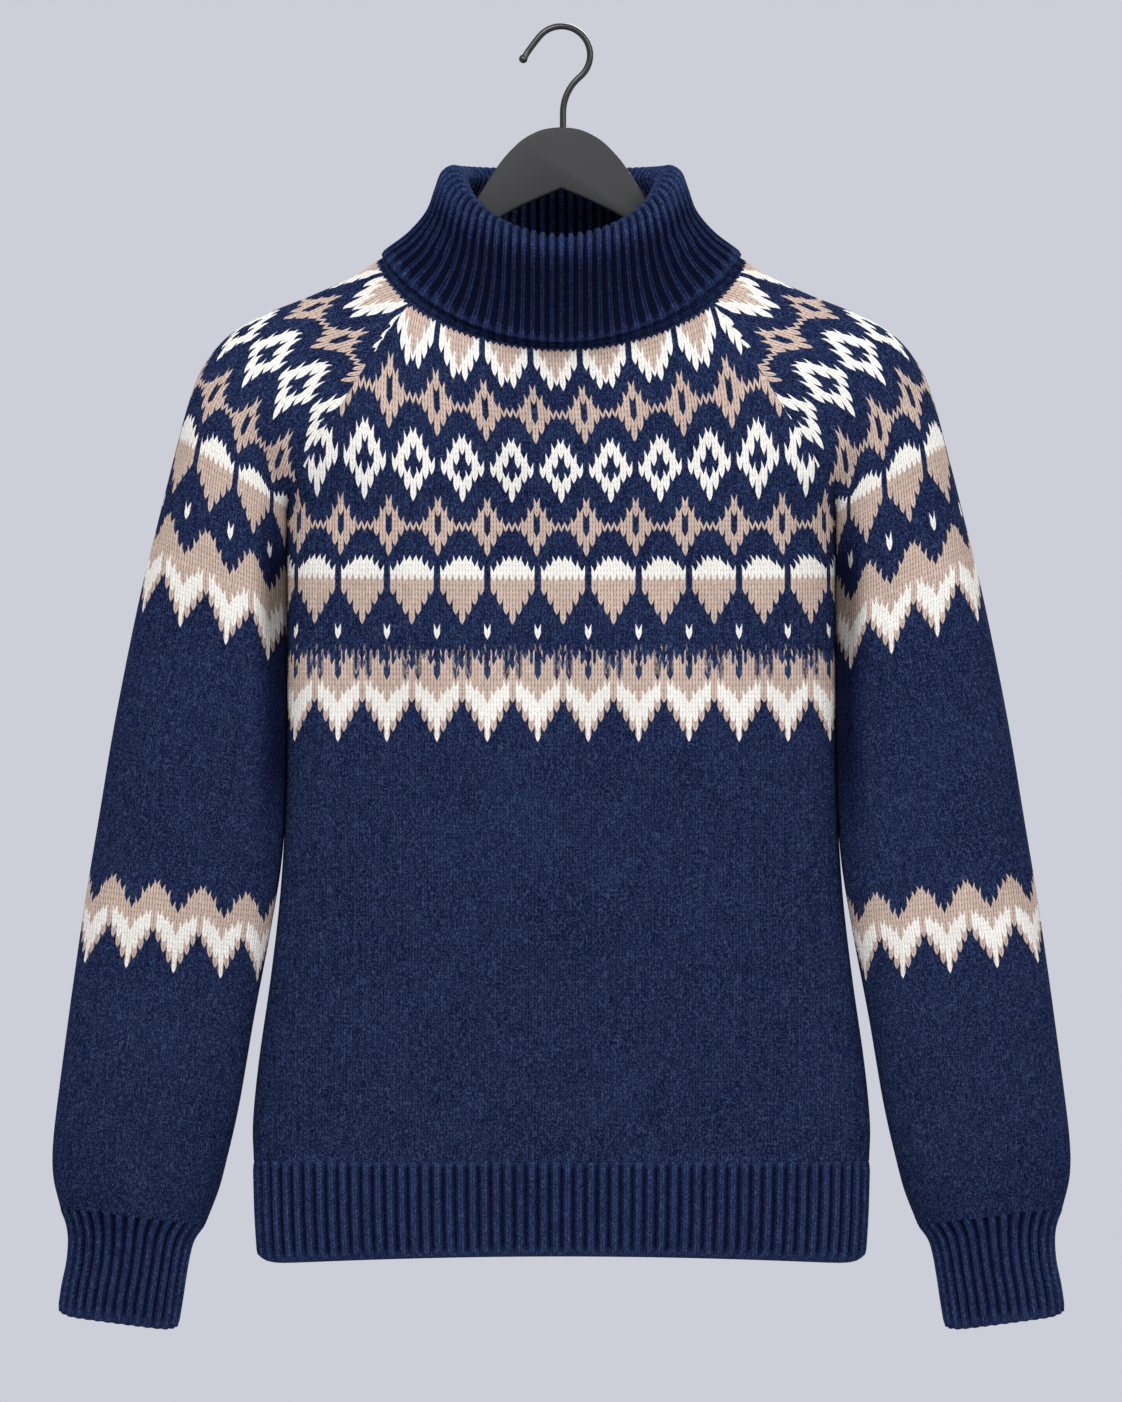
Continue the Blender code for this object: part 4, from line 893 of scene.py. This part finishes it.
# ---- hanger ---------------------------------------------------------------------------------
# A flat moulded coat hanger in matt charcoal plastic: an arched neck that runs out into the two
# arms, with rounded edges and a notched under edge.
HANGER_HALF = table(
    "x z",
    (0.0000, -0.0636), (0.0090, -0.0645), (0.0165, -0.0668), (0.0254, -0.0718), (0.0338, -0.0796),
    (0.0403, -0.0874), (0.0469, -0.0972), (0.0551, -0.1097), (0.0660, -0.1250), (0.0800, -0.1385),
    (0.0980, -0.1492), (0.1180, -0.1563), (0.1362, -0.1659), (0.1635, -0.1783), (0.1908, -0.1893),
    (0.2085, -0.1990), (0.2150, -0.2050), (0.2160, -0.2110), (0.2100, -0.2150), (0.1950, -0.2095),
    (0.1700, -0.1985), (0.1400, -0.1860), (0.1100, -0.1730), (0.0850, -0.1580), (0.0620, -0.1395),
    (0.0396, -0.1225), (0.0198, -0.1122), (0.0000, -0.1037))
HANGER_THICK, HANGER_ROUND = 0.0120, 0.0018
HANGER_POINTS = 82            # points on half of the outline


def smoothed(piece, degrees):
    """Shade a moulded or drawn piece smooth, with its sharp edges kept."""
    piece.data.shade_smooth()
    piece.data.set_sharp_from_angle(angle=math.radians(degrees))


def make_hanger():
    """Extrude the hanger's outline and round its edges."""
    places = np.linspace(0.0, len(HANGER_HALF["x"]) - 1.0, HANGER_POINTS)
    half = [(float(read(HANGER_HALF, "x", place)), float(read(HANGER_HALF, "z", place)))
            for place in places]
    outline = half[:-1] + [(0.0, half[-1][1])] + [(-x, z) for x, z in half[-2:0:-1]]
    mesh = bmesh.new()
    corners = [mesh.verts.new((x, -HANGER_THICK / 2, z)) for x, z in outline]
    face = mesh.faces.new(corners)
    grown = bmesh.ops.extrude_face_region(mesh, geom=[face])["geom"]
    moved = [item for item in grown if isinstance(item, bmesh.types.BMVert)]
    bmesh.ops.translate(mesh, verts=moved, vec=(0.0, HANGER_THICK, 0.0))
    rims = [edge for edge in mesh.edges if abs(edge.verts[0].co.y - edge.verts[1].co.y) < 1e-6]
    bmesh.ops.bevel(mesh, geom=rims, offset=HANGER_ROUND, affect="EDGES", segments=4,
                    profile=0.5, material=-1)
    piece = make_piece(mesh, "hanger_body", [make_finish("matt_charcoal", {
        "Base Color": (0.0114, 0.0112, 0.0116, 1.0), "Roughness": 0.62,
        "Specular IOR Level": 0.40})])
    smoothed(piece, 40)
    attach(piece, "root")
    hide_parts("hanger")


make_hanger()


# ---- hook -----------------------------------------------------------------------------------
# A swivelling hook of black enamelled steel wire, its tip ended with a small ball, pushed into
# the top of the hanger.
WIRE, TIP_BALL = 0.0021, 0.0029       # radii
STEM_FOOT, STEM = (0.0010, 0.0, -0.0640), 0.0096
# The wire's bends from the stem to the tip: centre, degrees and steps.
LOWER_BEND = ((0.0318, 0.0, -0.0544), 50.0, 10)
UPPER_BEND = ((0.0, 0.0, -0.01655), -190.0, 36)
TIP_BEND = ((0.0776, 0.0, -0.0818), -7.6, 4)
BALL_RINGS = (118, 100, 82, 62, 42, 22, 6)      # degrees from the ball's far end


def make_hook():
    """Sweep the wire from the hanger up its stem and round its bends, and end it in a ball."""
    mesh = bmesh.new()
    bmesh.ops.create_circle(mesh, segments=20, radius=WIRE, cap_ends=False)
    bmesh.ops.translate(mesh, verts=mesh.verts[:], vec=STEM_FOOT)
    last = mesh.edges[:]

    def swept(edges, centre, degrees, steps):
        grown = bmesh.ops.spin(mesh, geom=edges, cent=centre, axis=(0.0, 1.0, 0.0),
                               angle=math.radians(degrees), steps=steps, use_duplicate=False)
        return [item for item in grown["geom_last"] if isinstance(item, bmesh.types.BMEdge)]

    def pushed(edges, way, scale=1.0):
        grown = bmesh.ops.extrude_edge_only(mesh, edges=edges)["geom"]
        verts = [item for item in grown if isinstance(item, bmesh.types.BMVert)]
        middle = sum((vert.co for vert in verts), Vector()) / len(verts)
        for vert in verts:
            vert.co = middle + (vert.co - middle) * scale + way
        return [item for item in grown if isinstance(item, bmesh.types.BMEdge)
                and all(vert in verts for vert in item.verts)]

    last = pushed(last, Vector((0.0, 0.0, STEM)))
    for bend in (LOWER_BEND, UPPER_BEND, TIP_BEND):
        last = swept(last, *bend)
    ring = {vert for edge in last for vert in edge.verts}
    middle = sum((vert.co for vert in ring), Vector()) / len(ring)
    along = (middle - Vector(TIP_BEND[0])).cross(Vector((0.0, -1.0, 0.0))).normalized()
    if along.z > 0:
        along.negate()
    before, size = -math.sqrt(TIP_BALL ** 2 - WIRE ** 2), WIRE
    for degrees in BALL_RINGS:
        height = TIP_BALL * math.cos(math.radians(degrees))
        radius = TIP_BALL * math.sin(math.radians(degrees))
        last = pushed(last, along * (height - before), radius / size)
        before, size = height, radius
    bmesh.ops.holes_fill(mesh, edges=[edge for edge in mesh.edges if edge.is_boundary])
    piece = make_piece(mesh, "hook_wire", [make_finish("black_enamel", {
        "Base Color": (0.004, 0.004, 0.0045, 1.0), "Roughness": 0.30})])
    smoothed(piece, 50)
    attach(piece, "root")
    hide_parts("hook")


make_hook()


# ---- stage ----------------------------------------------------------------------------------
# A pale floor below the hanging garment, in an even pale room lit by large soft lamps.
FLOOR_SIZE, FLOOR_PLACE = (18.0, 18.6, 1.0), (0.0, -2.7, -1.20)


def make_floor():
    """The floor, well below the garment."""
    mesh = bmesh.new()
    bmesh.ops.create_grid(mesh, x_segments=1, y_segments=1, size=0.5)
    bmesh.ops.scale(mesh, verts=mesh.verts[:], vec=FLOOR_SIZE)
    bmesh.ops.translate(mesh, verts=mesh.verts[:], vec=FLOOR_PLACE)
    pale = make_finish("pale_floor", {
        "Base Color": (0.100, 0.100, 0.104, 1.0), "Roughness": 0.95,
        "Emission Color": (0.530, 0.543, 0.600, 1.0), "Emission Strength": 1.0})
    make_piece(mesh, "studio_floor", [pale], closed=False)


LAMP_SIZE, LAMP_AIM = 1.8, (0.0, 0.0, -0.42)


def make_lamp(name, place, power):
    """A large square lamp that points at the garment's middle."""
    lamp = bpy.data.lights.new(name, "AREA")
    lamp.size = LAMP_SIZE
    lamp.energy = power
    holder = bpy.data.objects.new(name, lamp)
    holder.location = place
    holder.rotation_euler = (Vector(LAMP_AIM) - Vector(place)).to_track_quat("-Z", "Y").to_euler()
    holder.visible_camera = False
    bpy.context.collection.objects.link(holder)


make_floor()
make_lamp("key_lamp", (-0.9, -2.3, 1.6), 94.0)
make_lamp("fill_lamp", (1.6, -2.2, 0.7), 48.0)
make_lamp("back_lamp", (0.9, 2.4, 1.3), 85.0)
world = bpy.data.worlds.new("studio")
world.use_nodes = True
background = world.node_tree.nodes["Background"]
background.inputs["Color"].default_value = (0.610, 0.624, 0.687, 1.0)
background.inputs["Strength"].default_value = 1.0
bpy.context.scene.world = world

camera = bpy.data.cameras.new("camera")
CAMERA_AWAY, VIEW_HEIGHT = 10.0, 0.9113       # metres; the height is seen at the garment
camera.lens = 36.0 * CAMERA_AWAY / VIEW_HEIGHT
camera.clip_end = 50.0
camera_holder = bpy.data.objects.new("camera", camera)
camera_holder.location = (-0.0003, -CAMERA_AWAY, -0.4365)
camera_holder.rotation_euler = (math.radians(90), 0.0, 0.0)
bpy.context.collection.objects.link(camera_holder)
bpy.context.scene.camera = camera_holder
bpy.context.scene.view_settings.view_transform = "Standard"
